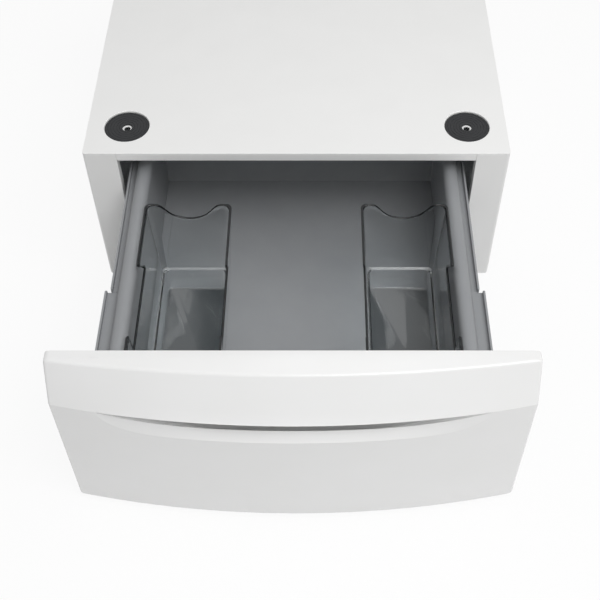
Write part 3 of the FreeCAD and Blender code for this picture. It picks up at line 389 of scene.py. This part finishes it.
# The rim of a clear SAN wall, painted dark: in the real wall light runs along inside and little of it comes
# out at the rim, so the rim looks dark, and this smoked colour is painted shade that stands in for it.
SAN_RIM_PAINTED_DARK = finish(
    "clear_san_rim_painted_dark", {"IOR": 1.57, "Specular IOR Level": 0.3},
    tones=("#121416", "#1B1E20", Pattern(18)), gloss=(0.08, 0.16, Pattern(14, 5)))
SLOTS = {part["node"]: part["material_slot"] for part in frame["record"]["subparts"]}
BODIES = {node: body for body, members in frame["record"]["behaviour"]["bodies"].items() for node in members}


# Mesh helpers

def skin(name, points, faces, node, smooth_angle=35, flat_caps=True):
    """A piece that stands for a node, with its body, slot and finish, from points in millimetres. Its caps,
    the faces with more than four corners, are shaded flat."""
    mesh = bpy.data.meshes.new(name)
    mesh.from_pydata([Vector(p) * MM for p in points], [], faces)
    mesh.validate()
    mesh.polygons.foreach_set("use_smooth", [not flat_caps or len(p.vertices) < 5 for p in mesh.polygons])
    mesh.set_sharp_from_angle(angle=math.radians(smooth_angle))
    piece = bpy.data.objects.new(name, mesh)
    bpy.context.scene.collection.objects.link(piece)
    mesh.materials.append(FINISHES[SLOTS[node]])
    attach(piece, BODIES[node])
    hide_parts(node)
    return piece


def loft(rings, looped=False):
    """Points and faces of a closed skin through closed rings, with both ends capped or, if looped, joined."""
    count = len(rings[0])
    points = [p for ring in rings for p in ring]
    faces = []
    for level in range(len(rings) if looped else len(rings) - 1):
        low, high = level * count, (level + 1) % len(rings) * count
        for i in range(count):
            j = (i + 1) % count
            faces.append((low + i, low + j, high + j, high + i))
    if not looped:
        faces.append(tuple(reversed(range(count))))
        faces.append(tuple(range(len(points) - count, len(points))))
    return points, faces


def around(pairs):
    """Points evenly round the Z axis, one for each (radius, height) pair."""
    turns = [math.tau * i / len(pairs) for i in range(len(pairs))]
    return [(radius * math.cos(t), radius * math.sin(t), height) for t, (radius, height) in zip(turns, pairs)]


def turned(profile, sides=TURN_SIDES, looped=False):
    """Points and faces of a profile of (radius, height) pairs turned about the Z axis."""
    return loft([around([pair] * sides) for pair in profile], looped)


def dome(radius, low, high, angles):
    """The profile of a dome between two heights, by angles in degrees up from its rim."""
    turns = [math.radians(a) for a in angles]
    return [(radius * math.cos(t), mix(low, high, math.sin(t))) for t in turns]


def round_corner(centre, radius, start, end, steps=5):
    """Points (a, b) round a corner, between two angles in degrees."""
    turns = [math.radians(mix(start, end, step / steps)) for step in range(steps + 1)]
    return [(centre[0] + radius * math.cos(t), centre[1] + radius * math.sin(t)) for t in turns]


def stand(shape, place, axis=(0, 0, 1)):
    """A shape about the Z axis, moved to a place and turned so that its Z runs along an axis."""
    points, faces = shape
    turn = Vector((0, 0, 1)).rotation_difference(Vector(axis)).to_matrix()
    return [Vector(place) + turn @ Vector(p) for p in points], faces


def gather(shapes):
    """Several shapes as one."""
    points, faces = [], []
    for some_points, some_faces in shapes:
        start = len(points)
        points += some_points
        faces += [tuple(start + i for i in face) for face in some_faces]
    return points, faces


def box_of(node):
    """A node's lowest and highest corners in millimetres."""
    return [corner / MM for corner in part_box(node)]


def boxes_in(node):
    """Lowest and highest corners, in millimetres, of the separate solids in a node."""
    mesh = nodes[node].data
    parent = list(range(len(mesh.vertices)))

    def root(i):
        while parent[i] != i:
            i = parent[i]
        return i

    spots = {}
    for vertex in mesh.vertices:
        spot = tuple(round(c / MM, 2) for c in vertex.co)
        parent[root(vertex.index)] = root(spots.setdefault(spot, vertex.index))
    for edge in mesh.edges:
        a, b = edge.vertices
        parent[root(a)] = root(b)
    groups = {}
    for vertex in mesh.vertices:
        groups.setdefault(root(vertex.index), []).append(vertex.co / MM)
    return [(Vector(map(min, zip(*group))), Vector(map(max, zip(*group)))) for group in groups.values()]


# Drawer front: a bowed shell, its upper band leaning out over a finger pull that fades out at both ends.

def bow_at(x, depths):
    """Depth of a bow that stands out to depths[0] at the panel's ends and depths[1] at its middle."""
    end, middle = depths
    sagitta = middle - end
    radius = (PANEL_HALF ** 2 + sagitta ** 2) / (2 * sagitta)
    return middle - radius + math.sqrt(radius ** 2 - x ** 2)


def face_depth(x, z):
    if z > CREASE:
        other, share = TOP_DEPTHS, (z - CREASE) / (PANEL_HIGH - CREASE)
    else:
        other, share = BOTTOM_DEPTHS, (CREASE - z) / (CREASE - PANEL_LOW)
    return mix(bow_at(x, CREASE_DEPTHS), bow_at(x, other), share)


def grip_section(x):
    """The finger pull's section at a place across the width, as (depth, height) from the lip down."""
    across = min(1, abs(x) / GRIP_HALF)
    full = 1 - across ** DEPTH_EVENNESS
    low = CREASE - GRIP_GAP * (1 - across ** GAP_EVENNESS)
    foot = CREASE - (GRIP_GAP + SCOOP_HEIGHT) * (1 - across ** STRIP_EVENNESS)
    lip, face = face_depth(x, CREASE), face_depth(x, foot)
    rear, edge = lip - GRIP_DEPTH * full, lip - SCOOP_DEPTH * full
    # behind the band there is room for the fingertips, and behind the lower edge a dark well
    room = 1 - ease(WELL_FADE_HALF, FINGERTIP_HALF, abs(x))
    roof, well = CREASE + FINGERTIP_RISE * room, low - WELL_DEPTH * room
    lip_round, brow = LIP_RADIUS * full, low - GRIP_EDGE_RADIUS * full / 2
    lip_back = min(lip - lip_round, rear + FINGERTIP_ROOM * full)
    ridge = max(rear, edge - RIDGE * full)
    section = [(lip - inwards * lip_round, CREASE + upwards * lip_round)
               for inwards, upwards in QUARTER_ROUND]
    section += [
        (mix(lip, lip_back, LIP_FLAT), CREASE), (lip_back, CREASE), (lip_back, roof), (rear, roof),
        (rear, mix(CREASE, low, 0.5)), (rear, low), (rear, well), (ridge, well), (ridge, brow),
        (mix(ridge, edge, 0.5), low), (edge, brow),
    ]
    section += [(mix(edge, face, share), mix(brow, foot, share)) for share in SCOOP_ROWS]
    # where the pull has run out, the section lies on the plain face, close about the crease
    above = len(QUARTER_ROUND) - 1
    below = len(section) - above - 1
    heights = [mix(LIP_RADIUS, 0, step / above) for step in range(above)]
    heights += [mix(0, -CREASE_BAND, step / below) for step in range(below + 1)]
    plain = [(face_depth(x, CREASE + height), CREASE + height) for height in heights]
    opened = ease(0, GRIP_FADE, full)
    return [(mix(a, c, opened), mix(b, d, opened)) for (a, b), (c, d) in zip(plain, section)]


def panel_ring(place, inset, recess):
    """One closed ring round the drawer front. place maps a place across the width to (depth, height), inset
    draws the ring's ends in, and recess is how deep its back lies inside the rim."""
    half = PANEL_HALF - inset
    shoulder = half - PANEL_CORNER_RADIUS
    edge_depth, edge_height = place(shoulder)
    end = [(half - PANEL_RIM - RIM_SLOPE, recess), (half - PANEL_RIM, 0), (half, 0)]
    end += round_corner((shoulder, edge_depth - PANEL_CORNER_RADIUS), PANEL_CORNER_RADIUS, 0, 90)[:-1]
    ring = [(-x, depth, edge_height) for x, depth in end]
    for column in range(FRONT_COLUMNS + 1):
        x = mix(-shoulder, shoulder, column / FRONT_COLUMNS)
        ring.append((x, *place(x)))
    ring += [(x, depth, edge_height) for x, depth in reversed(end)]
    return [(x, PANEL_BACK - depth, height) for x, depth, height in ring]


def drawer_front():
    def end_inset(height):
        """How far the ends draw in where they turn into the top and bottom edges."""
        short = PANEL_END_RADIUS - min(height - PANEL_LOW, PANEL_HIGH - height)
        return PANEL_END_RADIUS - math.sqrt(PANEL_END_RADIUS ** 2 - max(0, short) ** 2)

    def plain(height, inset=0, recess=LINER_RECESS):
        """A level at one height on the plain face."""
        return ((lambda x: (face_depth(min(abs(x), PANEL_HALF), height) - inset, height)),
                inset + end_inset(height), recess)

    def in_pull(step):
        """A level along one point of the finger pull's section."""
        return (lambda x: grip_section(x)[step]), 0, LINER_RECESS

    def below_pull(share):
        """A level part of the way down from the scoop's foot to the low edge."""
        def place(x):
            height = mix(grip_section(x)[-1][1], PANEL_LOW + PANEL_END_RADIUS, share)
            return face_depth(x, height), height
        return place, 0, LINER_RECESS

    def rounded_edge(edge, inwards):
        """Levels that turn an edge over, from the flat end to the face."""
        radius = PANEL_EDGE_RADIUS
        return [plain(edge + inwards * rise, inset, 0)
                for inset, rise in round_corner((radius, radius), radius, 270, 180)]

    band_top = PANEL_HIGH - PANEL_END_RADIUS
    levels = rounded_edge(PANEL_HIGH, -1)
    levels += [plain(PANEL_HIGH - PANEL_RIM, recess=0), plain(PANEL_HIGH - PANEL_RIM - RIM_SLOPE)]
    levels += [plain(mix(band_top, CREASE + LIP_RADIUS, share)) for share in (0, *BAND_ROWS)]
    levels += [in_pull(step) for step in range(len(grip_section(0)))]
    levels += [below_pull(share) for share in LOWER_ROWS]
    levels += [plain(PANEL_LOW + PANEL_END_RADIUS), plain(PANEL_LOW + PANEL_RIM + RIM_SLOPE),
               plain(PANEL_LOW + PANEL_RIM, recess=0)]
    levels += reversed(rounded_edge(PANEL_LOW, 1))
    skin("drawer_front_shell", *loft([panel_ring(*level) for level in levels]), "front_panel")


# Clear bins: tapered walls over a narrower base, with a step in the long rims and a wave in the end rims.

def bin_long_side(front, rear, top):
    """A long wall's rim from front to rear, as (place of the column's foot, place of the rim, height)."""
    low, radius = top - BIN_SIDE_DIP, BIN_STEP_RADIUS
    step = front - BIN_CORNER_RADIUS + BIN_FRONT_SHOULDER
    wing = rear + BIN_CORNER_RADIUS - BIN_WING
    foot = wing + BIN_WING_LEAN
    rim = [(y, top) for y in evenly(front, step - radius, SHOULDER_COLUMNS)]
    rim += round_corner((step - radius, top - radius), radius, 90, 0)
    rim += round_corner((step + radius, low + radius), radius, 180, 270)
    rim += [(y, low) for y in evenly(step + radius, foot - radius, DIP_COLUMNS)]
    rim += round_corner((foot - radius, low + radius), radius, 270, 360)
    stations = [(y, y, height) for y, height in rim]
    # the wing leans forward over its own foot, so its columns spread from behind that foot
    lean = round_corner((wing + radius, top - radius), radius, 180, 90)
    lean += [(y, top) for y in evenly(wing + radius, rear, WING_COLUMNS)]
    feet = evenly(foot + radius + BIN_WING_ROOT, rear, len(lean))
    return stations + [(foot, y, height) for foot, (y, height) in zip(feet, lean)]


def bin_end_wall(left, right, top):
    """An end wall's waved rim from left to right, as (place across, height)."""
    middle, reach = (left + right) / 2, (right - left) / 2 + BIN_CORNER_RADIUS - BIN_END_SHOULDER
    rim = []
    for x in evenly(left, right, END_COLUMNS):
        share = 1 - min(1, abs(x - middle) / reach) ** 2
        rim.append((x, top - BIN_END_DIP * share * ease(0, BIN_WAVE_ROUND, share)))
    return rim


def bin_columns(low, high):
    """Columns round a bin's walls, each (place, rim offset along the bin, rim height). place maps an
    inset from the top outline to (x, y)."""
    radius = BIN_CORNER_RADIUS
    middle, half = (low + high) / 2, (high - low) / 2
    columns = []

    def side(sign, stations):
        for foot, y, height in stations:
            share = (foot - middle.y) / (half.y - radius)
            columns.append((lambda inset, share=share: (
                middle.x + sign * (half.x - inset),
                middle.y + share * (half.y - radius - inset)), y - foot, height))

    def end(sign, stations):
        for x, height in stations:
            share = (x - middle.x) / (half.x - radius)
            columns.append((lambda inset, share=share: (
                middle.x + share * (half.x - radius - inset),
                middle.y + sign * (half.y - inset)), 0, height))

    def corner(side_sign, end_sign, start):
        for a, b in round_corner((0, 0), radius, start, start + 90, CORNER_COLUMNS):
            columns.append((lambda inset, a=a, b=b: (
                middle.x + side_sign * (half.x - radius - inset) + a,
                middle.y + end_sign * (half.y - radius - inset) + b), 0, high.z))

    long_side = bin_long_side(low.y + radius, high.y - radius, high.z)
    end_wall = bin_end_wall(low.x + radius, high.x - radius, high.z)
    side(1, long_side)
    corner(1, 1, 0)
    end(1, reversed(end_wall))
    corner(-1, 1, 90)
    side(-1, reversed(long_side))
    corner(-1, -1, 180)
    end(-1, end_wall)
    corner(1, -1, 270)
    return columns


def clear_bin(node):
    low, high = box_of(node)
    columns = bin_columns(low, high)
    ledge, inside = BIN_LEDGE_HEIGHT, BIN_LEDGE_HEIGHT + BIN_WALL
    split = high.z - BIN_SIDE_DIP - 2 * BIN_STEP_RADIUS

    def taper(height):
        return BIN_TAPER * (high.z - height) / (high.z - ledge)

    def lower_ring(height, inset):
        return flat_ring(height, inset + taper(height))

    def upper_ring(share, inset, drop=0):
        """A ring part of the way from the split up to the waved rim."""
        ring = []
        for place, offset, rim in columns:
            height = mix(split, rim - drop, share)
            x, y = place(inset + taper(height))
            ring.append((x, y + offset * share, height))
        return ring

    def flat_ring(height, inset):
        return [(*place(inset), height) for place, offset, rim in columns]

    # up the outside, over the rim and down the inside
    base, edge, wall = BIN_TAPER + BIN_LEDGE, BIN_EDGE_RADIUS, BIN_WALL
    rings = [flat_ring(low.z, base + edge), flat_ring(low.z + edge, base),
             flat_ring(ledge - edge, base), flat_ring(ledge, base - edge),
             flat_ring(ledge, BIN_TAPER + edge), flat_ring(ledge + edge, BIN_TAPER)]
    rings += [lower_ring(mix(ledge + edge, split, share), 0) for share in (0.5, 1)]
    rings += [upper_ring(share, 0, edge) for share in UPPER_ROWS]
    rim_start = (len(rings) - 1) * len(columns)
    rings += [upper_ring(1, RIM_ROUND * edge, RIM_ROUND * edge), upper_ring(1, edge),
              upper_ring(1, wall - edge), upper_ring(1, wall - RIM_ROUND * edge, RIM_ROUND * edge)]
    rim_end = len(rings) * len(columns)
    rings += [upper_ring(share, wall, edge) for share in reversed(UPPER_ROWS)]
    rings += [lower_ring(mix(inside + edge, split, share), wall) for share in (1, 0.5, 0)]
    rings += [flat_ring(inside, BIN_TAPER + wall + edge), flat_ring(inside, base + wall - edge),
              flat_ring(inside - edge, base + wall), flat_ring(low.z + wall + edge, base + wall),
              flat_ring(low.z + wall, base + wall + edge)]
    mesh = skin(f"{node}_shell", *loft(rings), node, smooth_angle=50).data
    # the rim faces take the dark rim finish, painted shade for the light that the clear wall keeps in
    mesh.materials.append(SAN_RIM_PAINTED_DARK)
    for face in mesh.polygons[rim_start:rim_end]:
        face.material_index = 1


# Screws and rivets, drawn where their own solids stand.

def screw_shape(length):
    """A pan-head screw along Z, its head's seat at 0: a threaded shank below and a cross recess on top."""
    rim = HEAD_HEIGHT * SCREW_RIM
    profile = [(SCREW_TIP, -length), (SCREW_RADIUS * SCREW_POINT, SCREW_PITCH - length)]
    for turn in range(1, int((length - SCREW_PITCH) / SCREW_PITCH) + 1):
        height = SCREW_PITCH * turn - length
        profile += [(SCREW_RADIUS * SCREW_CORE, height + SCREW_PITCH * SCREW_VALLEY),
                    (SCREW_RADIUS, height + SCREW_PITCH * SCREW_CREST)]
    profile += [(SCREW_RADIUS, -NECK), (HEAD_RADIUS, 0), (HEAD_RADIUS, rim)]
    rings = [[pair] * TURN_SIDES for pair in profile]
    for share in HEAD_ROWS:
        radius, crown = HEAD_RADIUS * share, mix(rim, HEAD_HEIGHT, math.sqrt(1 - share ** 2))
        ring = []
        for i in range(TURN_SIDES):
            turn = math.tau * i / TURN_SIDES
            off_arm = min(abs(radius * math.sin(turn)), abs(radius * math.cos(turn)))
            in_cross = off_arm < CROSS_HALF_WIDTH and share < CROSS_REACH
            ring.append((radius, crown - CROSS_DEPTH if in_cross else crown))
        rings.append(ring)
    return loft([around(ring) for ring in rings])


def rivet_shape(length):
    """A domed rivet along Z, its head's seat at 0, with a set end below."""
    rim = HEAD_HEIGHT * RIVET_RIM
    return turned([
        (RIVET_TIP, -length), (SCREW_RADIUS * SCREW_CORE, -length), (SCREW_RADIUS, RIVET_CHAMFER - length),
        (SCREW_RADIUS, -NECK), (HEAD_RADIUS, 0), (HEAD_RADIUS, rim),
        *dome(HEAD_RADIUS, rim, HEAD_HEIGHT, RIVET_DOME)])


def fasteners(node, axis, shape_of):
    """Every fastener of a node, its head at the end of its solid that the axis points to."""
    axis = Vector(axis)
    shapes = []
    for low, high in boxes_in(node):
        reach = abs((high - low).dot(axis)) / 2
        seat = (low + high) / 2 + axis * (reach - HEAD_HEIGHT)
        shapes.append(stand(shape_of(2 * reach - HEAD_HEIGHT), seat, axis))
    skin(f"{node}_dressed", *gather(shapes), node)


# Feet: a threaded stem with a chamfered hexagon, on a rubber pad with grooves.

def hexagon_ring(height, most):
    """The hexagon's outline cut to a circle of radius most."""
    ring = []
    for i in range(TURN_SIDES):
        off_flat = (math.tau * i / TURN_SIDES + math.pi / 6) % (math.pi / 3) - math.pi / 6
        ring.append((min(most, HEX_ACROSS / 2 / math.cos(off_flat)), height))
    return around(ring)


def thread_rings(low, high):
    """Rings of a helical thread between two heights."""
    count = round((high - low) / THREAD_PITCH * THREAD_STEPS)
    rings = []
    for step in range(count + 1):
        height = mix(low, high, step / count)
        phases = [(height / THREAD_PITCH - i / TURN_SIDES) % 1 for i in range(TURN_SIDES)]
        rings.append(around([(STEM_RADIUS - THREAD_DEPTH * abs(2 * p - 1), height) for p in phases]))
    return rings


def foot_stem(node):
    low, high = box_of(node)
    disc, disc_high = (high.x - low.x) / 2, low.z + DISC_HEIGHT
    hex_low, hex_high, flat = HEX_TOP - HEX_HEIGHT, HEX_TOP, HEX_ACROSS / 2

    def circles(*profile):
        return [around([pair] * TURN_SIDES) for pair in profile]

    rings = circles(
        (STEM_TIP, low.z), (disc - STEM_CHAMFER, low.z), (disc, low.z + STEM_CHAMFER),
        (disc, disc_high - DISC_ROUND), (disc - RIM_ROUND * DISC_ROUND, disc_high - RIM_ROUND * DISC_ROUND),
        (disc - DISC_ROUND, disc_high), (STEM_RADIUS + STEM_CHAMFER, disc_high),
        (STEM_RADIUS, disc_high + STEM_CHAMFER))
    rings += thread_rings(disc_high + STEM_CHAMFER + THREAD_CLEAR, hex_low - THREAD_CLEAR)
    rings += circles((STEM_RADIUS, hex_low), (flat - HEX_CHAMFER, hex_low))
    rings += [hexagon_ring(hex_low + HEX_CHAMFER, flat + HEX_BULGE),
              hexagon_ring(hex_low + HEX_FULL, HEX_ACROSS),
              hexagon_ring(hex_high - HEX_FULL, HEX_ACROSS),
              hexagon_ring(hex_high - HEX_CHAMFER, flat + HEX_BULGE)]
    rings += circles((flat - HEX_CHAMFER, hex_high), (STEM_RADIUS, hex_high))
    rings += thread_rings(hex_high + THREAD_START, high.z - STEM_CHAMFER)
    rings += circles((STEM_RADIUS - STEM_CHAMFER, high.z), (STEM_TIP, high.z))
    middle = (low + high) / 2
    skin(f"{node}_threaded", *stand(loft(rings), (middle.x, middle.y, 0)), node, smooth_angle=30)


def foot_pad(node):
    """A rubber pad with a grooved side, a rounded lip round the disc, and rings on its sole."""
    low, high = box_of(node)
    middle, radius, height = (low + high) / 2, (high.x - low.x) / 2, high.z - low.z
    land = SOLE_SLOPE + SOLE_LAND
    profile = [(STEM_TIP, SOLE_DEPTH)]
    for ring in SOLE_RINGS:
        profile += [(ring, SOLE_DEPTH), (ring + SOLE_SLOPE, 0), (ring + land, 0),
                    (ring + land + SOLE_SLOPE, SOLE_DEPTH)]
    profile += [(radius + out, up) for out, up in PAD_ROUND]
    for share in PAD_GROOVE_ROWS:
        side, level = mix(radius, PAD_TOP_RADIUS, share), mix(PAD_FOOT, height, share)
        profile += [(side + out, level + up) for out, up in PAD_GROOVE]
    profile += [(PAD_TOP_RADIUS + out, height + up) for out, up in PAD_LIP_OUTER]
    profile += [(PAD_SEAT_RADIUS + out, height + up) for out, up in PAD_LIP_INNER]
    profile += [(PAD_SEAT_RADIUS, PAD_SEAT), (STEM_TIP, PAD_SEAT)]
    shape = stand(turned(profile, PAD_SIDES), (middle.x, middle.y, low.z))
    skin(f"{node}_grooved", *shape, node, smooth_angle=40)


# Runner rollers, platform pads and bumpers, all turned.

def roller(node):
    """A moulded roller: a crowned tread between two dished faces, on a bore."""
    low, high = box_of(node)
    middle, radius, half = (low + high) / 2, (high.z - low.z) / 2, (high.x - low.x) / 2
    face = [(ROLLER_BORE, half), (ROLLER_HUB, half), (ROLLER_HUB + ROLLER_SLOPE, half - ROLLER_DISH),
            (radius - ROLLER_RIM - ROLLER_SLOPE, half - ROLLER_DISH), (radius - ROLLER_RIM, half)]
    face += [(radius + out, half + up) for out, up in ROLLER_SHOULDER]
    face.append((radius, half * ROLLER_CROWN))
    profile = face + [(r, -h) for r, h in reversed(face)]
    skin(f"{node}_dished", *stand(turned(profile, looped=True), middle, (1, 0, 0)), node)


def platform_pads(node):
    """Rubber pads on the top plate, each with concentric grooves round its hole."""
    shapes = []
    for low, high in boxes_in(node):
        middle, radius, height = (low + high) / 2, (high.x - low.x) / 2, high.z - low.z
        profile = [(PLATFORM_HOLE, 0), (radius, 0), (radius, height - PLATFORM_EDGE),
                   (radius - PLATFORM_EDGE, height)]
        for groove in range(PLATFORM_GROOVES):
            r = mix(radius - GROOVE_MARGIN, PLATFORM_HOLE + GROOVE_MARGIN, groove / (PLATFORM_GROOVES - 1))
            profile += [(r + GROOVE_HALF, height), (r + GROOVE_FLOOR_HALF, height - GROOVE_DEPTH),
                        (r - GROOVE_FLOOR_HALF, height - GROOVE_DEPTH), (r - GROOVE_HALF, height)]
        profile += [(PLATFORM_HOLE + GROOVE_DEPTH, height), (PLATFORM_HOLE, height - GROOVE_DEPTH)]
        shapes.append(stand(turned(profile, PAD_SIDES, looped=True), (middle.x, middle.y, low.z)))
    skin(f"{node}_grooved", *gather(shapes), node)


def closing_bumpers(node):
    """Domed rubber bumpers behind the drawer front."""
    shapes = []
    for low, high in boxes_in(node):
        middle, radius, depth = (low + high) / 2, (high.x - low.x) / 2, high.y - low.y
        rim = depth * BUMPER_RIM
        profile = [(BUMPER_TIP, 0), (radius, 0), (radius, rim), *dome(radius, rim, depth, BUMPER_DOME)]
        shapes.append(stand(turned(profile), (middle.x, low.y, middle.z), (0, 1, 0)))
    skin(f"{node}_domed", *gather(shapes), node)


# Nodes with the right shape keep it, with their bends rounded and their sharp edges broken.

def softened(node, bend_mm, edge_mm):
    shape = bmesh.new()
    shape.from_mesh(nodes[node].data)
    bmesh.ops.remove_doubles(shape, verts=shape.verts, dist=WELD * MM)
    bmesh.ops.dissolve_limit(shape, angle_limit=FLAT_ANGLE, verts=shape.verts, edges=shape.edges)

    def least_width(edge):
        return min(face.calc_area() for face in edge.link_faces) / edge.calc_length()

    sharp = [edge for edge in shape.edges
             if len(edge.link_faces) == 2 and edge.calc_face_angle() > SHARP_ANGLE]
    bends = [edge for edge in sharp if least_width(edge) > BEND_LEAST * MM]
    rest = [edge for edge in sharp if least_width(edge) <= BEND_LEAST * MM]
    for edges, width, rows in ((bends, bend_mm, BEND_ROWS), (rest, edge_mm, EDGE_ROWS)):
        edges = [edge for edge in edges if edge.is_valid]
        if edges:
            bmesh.ops.bevel(shape, geom=edges, offset=width * MM, offset_type="OFFSET", segments=rows,
                            profile=0.5, affect="EDGES", clamp_overlap=True)
    points = [vertex.co / MM for vertex in shape.verts]
    shape.verts.index_update()
    faces = [tuple(vertex.index for vertex in face.verts) for face in shape.faces]
    shape.free()
    piece = skin(f"{node}_soft", points, faces, node, smooth_angle=40, flat_caps=False)
    flat = piece.modifiers.new("flat_faces_stay_flat", "WEIGHTED_NORMAL")
    flat.keep_sharp = True
    flat.weight = 100


for node, piece in nodes.items():
    piece.data.materials.clear()
    piece.data.materials.append(FINISHES[SLOTS[node]])

for node, (bend, edge) in SOFT_EDGES.items():
    softened(node, bend, edge)
drawer_front()
fasteners("back_panel_screws", (0, 1, 0), screw_shape)
fasteners("drawer_front_screws", (0, 1, 0), screw_shape)
platform_pads("platform_pads")
closing_bumpers("closing_bumpers")
for hand, outward in (("left", -1), ("right", 1)):
    clear_bin(f"{hand}_bin")
    fasteners(f"{hand}_runner_rivets", (outward, 0, 0), rivet_shape)
    fasteners(f"{hand}_drawer_rivets", (-outward, 0, 0), rivet_shape)
    for end in ("front", "rear"):
        roller(f"{hand}_{end}_roller")
        foot_stem(f"{end}_{hand}_foot_stem")
        foot_pad(f"{end}_{hand}_foot_pad")


# Stage: a pale floor, soft light from the front right and from above, and the camera.

def rays_to_the_eye(tree):
    """1 for what the camera sees straight, in a gloss or through a clear wall, and 0 for other light."""
    path = add(tree, "ShaderNodeLightPath").outputs
    seen = path["Is Camera Ray"]
    for kind in ("Is Glossy Ray", "Is Transmission Ray"):
        seen = add(tree, "ShaderNodeMath", {0: seen, 1: path[kind]}, operation="MAXIMUM").outputs[0]
    return seen


def studio_floor():
    """Matt white paint, faintly uneven, that keeps the shadow. Away from the object it turns as white as the
    air above it, so that no horizon shows."""
    half = FLOOR_HALF
    mesh = bpy.data.meshes.new("floor")
    corners = [(-half, -half, 0), (half, -half, 0), (half, half, 0), (-half, half, 0)]
    mesh.from_pydata(corners, [], [(0, 1, 2, 3)])
    floor = bpy.data.objects.new("floor", mesh)
    bpy.context.scene.collection.objects.link(floor)
    material, tree = new_material("pale_matt_floor")
    place = add(tree, "ShaderNodeTexCoord").outputs["Object"]
    patches = add(tree, "ShaderNodeTexNoise", {"Vector": place, "Scale": per_metre(FLOOR_PATCH_MM)})
    colour = add(tree, "ShaderNodeMix", {
        0: patches.outputs["Fac"], 6: linear("#F8F8F8"), 7: linear("#F5F5F5")}, data_type="RGBA")
    matt = add(tree, "ShaderNodeBsdfDiffuse", {"Color": colour.outputs[2]})
    glow = add(tree, "ShaderNodeEmission", {"Color": linear("#FFFFFF"), "Strength": 1})
    reach = add(tree, "ShaderNodeVectorMath", {0: place}, operation="LENGTH").outputs["Value"]
    whiter = add(tree, "ShaderNodeMapRange", {
        "Value": reach, "From Min": SHADOW_REACH, "From Max": 2 * SHADOW_REACH,
        "To Min": FLOOR_GLOW, "To Max": 1})
    seen = add(tree, "ShaderNodeMath", {0: rays_to_the_eye(tree), 1: whiter.outputs["Result"]},
               operation="MULTIPLY").outputs[0]
    surface = add(tree, "ShaderNodeMixShader", {0: seen, 1: matt.outputs[0], 2: glow.outputs[0]})
    add(tree, "ShaderNodeOutputMaterial", {"Surface": surface.outputs[0]})
    mesh.materials.append(material)


def studio_world():
    """White to the eye, and a soft fill for the object."""
    world = bpy.data.worlds.new("studio")
    bpy.context.scene.world = world
    world.use_nodes = True
    tree = world.node_tree
    tree.nodes.clear()
    strength = add(tree, "ShaderNodeMapRange", {
        "Value": rays_to_the_eye(tree), "To Min": WORLD_LIGHT, "To Max": 1})
    background = add(tree, "ShaderNodeBackground", {
        "Color": linear("#FFFFFF"), "Strength": strength.outputs["Result"]})
    add(tree, "ShaderNodeOutputWorld", {"Surface": background.outputs[0]})


def soft_light(name, place, target, size, power):
    lamp = bpy.data.lights.new(name, "AREA")
    lamp.shape = "RECTANGLE"
    lamp.size, lamp.size_y = size
    lamp.energy = power
    light = bpy.data.objects.new(name, lamp)
    bpy.context.scene.collection.objects.link(light)
    light.location = place
    light.rotation_mode = "QUATERNION"
    light.rotation_quaternion = (Vector(target) - Vector(place)).to_track_quat("-Z", "Y")


def camera():
    lens = bpy.data.cameras.new("camera")
    lens.sensor_width = SENSOR_MM
    lens.lens = SENSOR_MM * FOCAL_PIXELS / PHOTO_SIZE
    lens.shift_x = (PHOTO_SIZE / 2 - PRINCIPAL_X) / PHOTO_SIZE
    lens.clip_end = CAMERA_REACH
    eye = bpy.data.objects.new("camera", lens)
    bpy.context.scene.collection.objects.link(eye)
    eye.location = CAMERA_PLACE
    eye.rotation_euler = (math.radians(90 - CAMERA_PITCH), 0, 0)
    bpy.context.scene.camera = eye


studio_floor()
studio_world()
for name, settings in LAMPS.items():
    soft_light(name, *settings)
camera()
bpy.context.scene.view_settings.view_transform = "Standard"
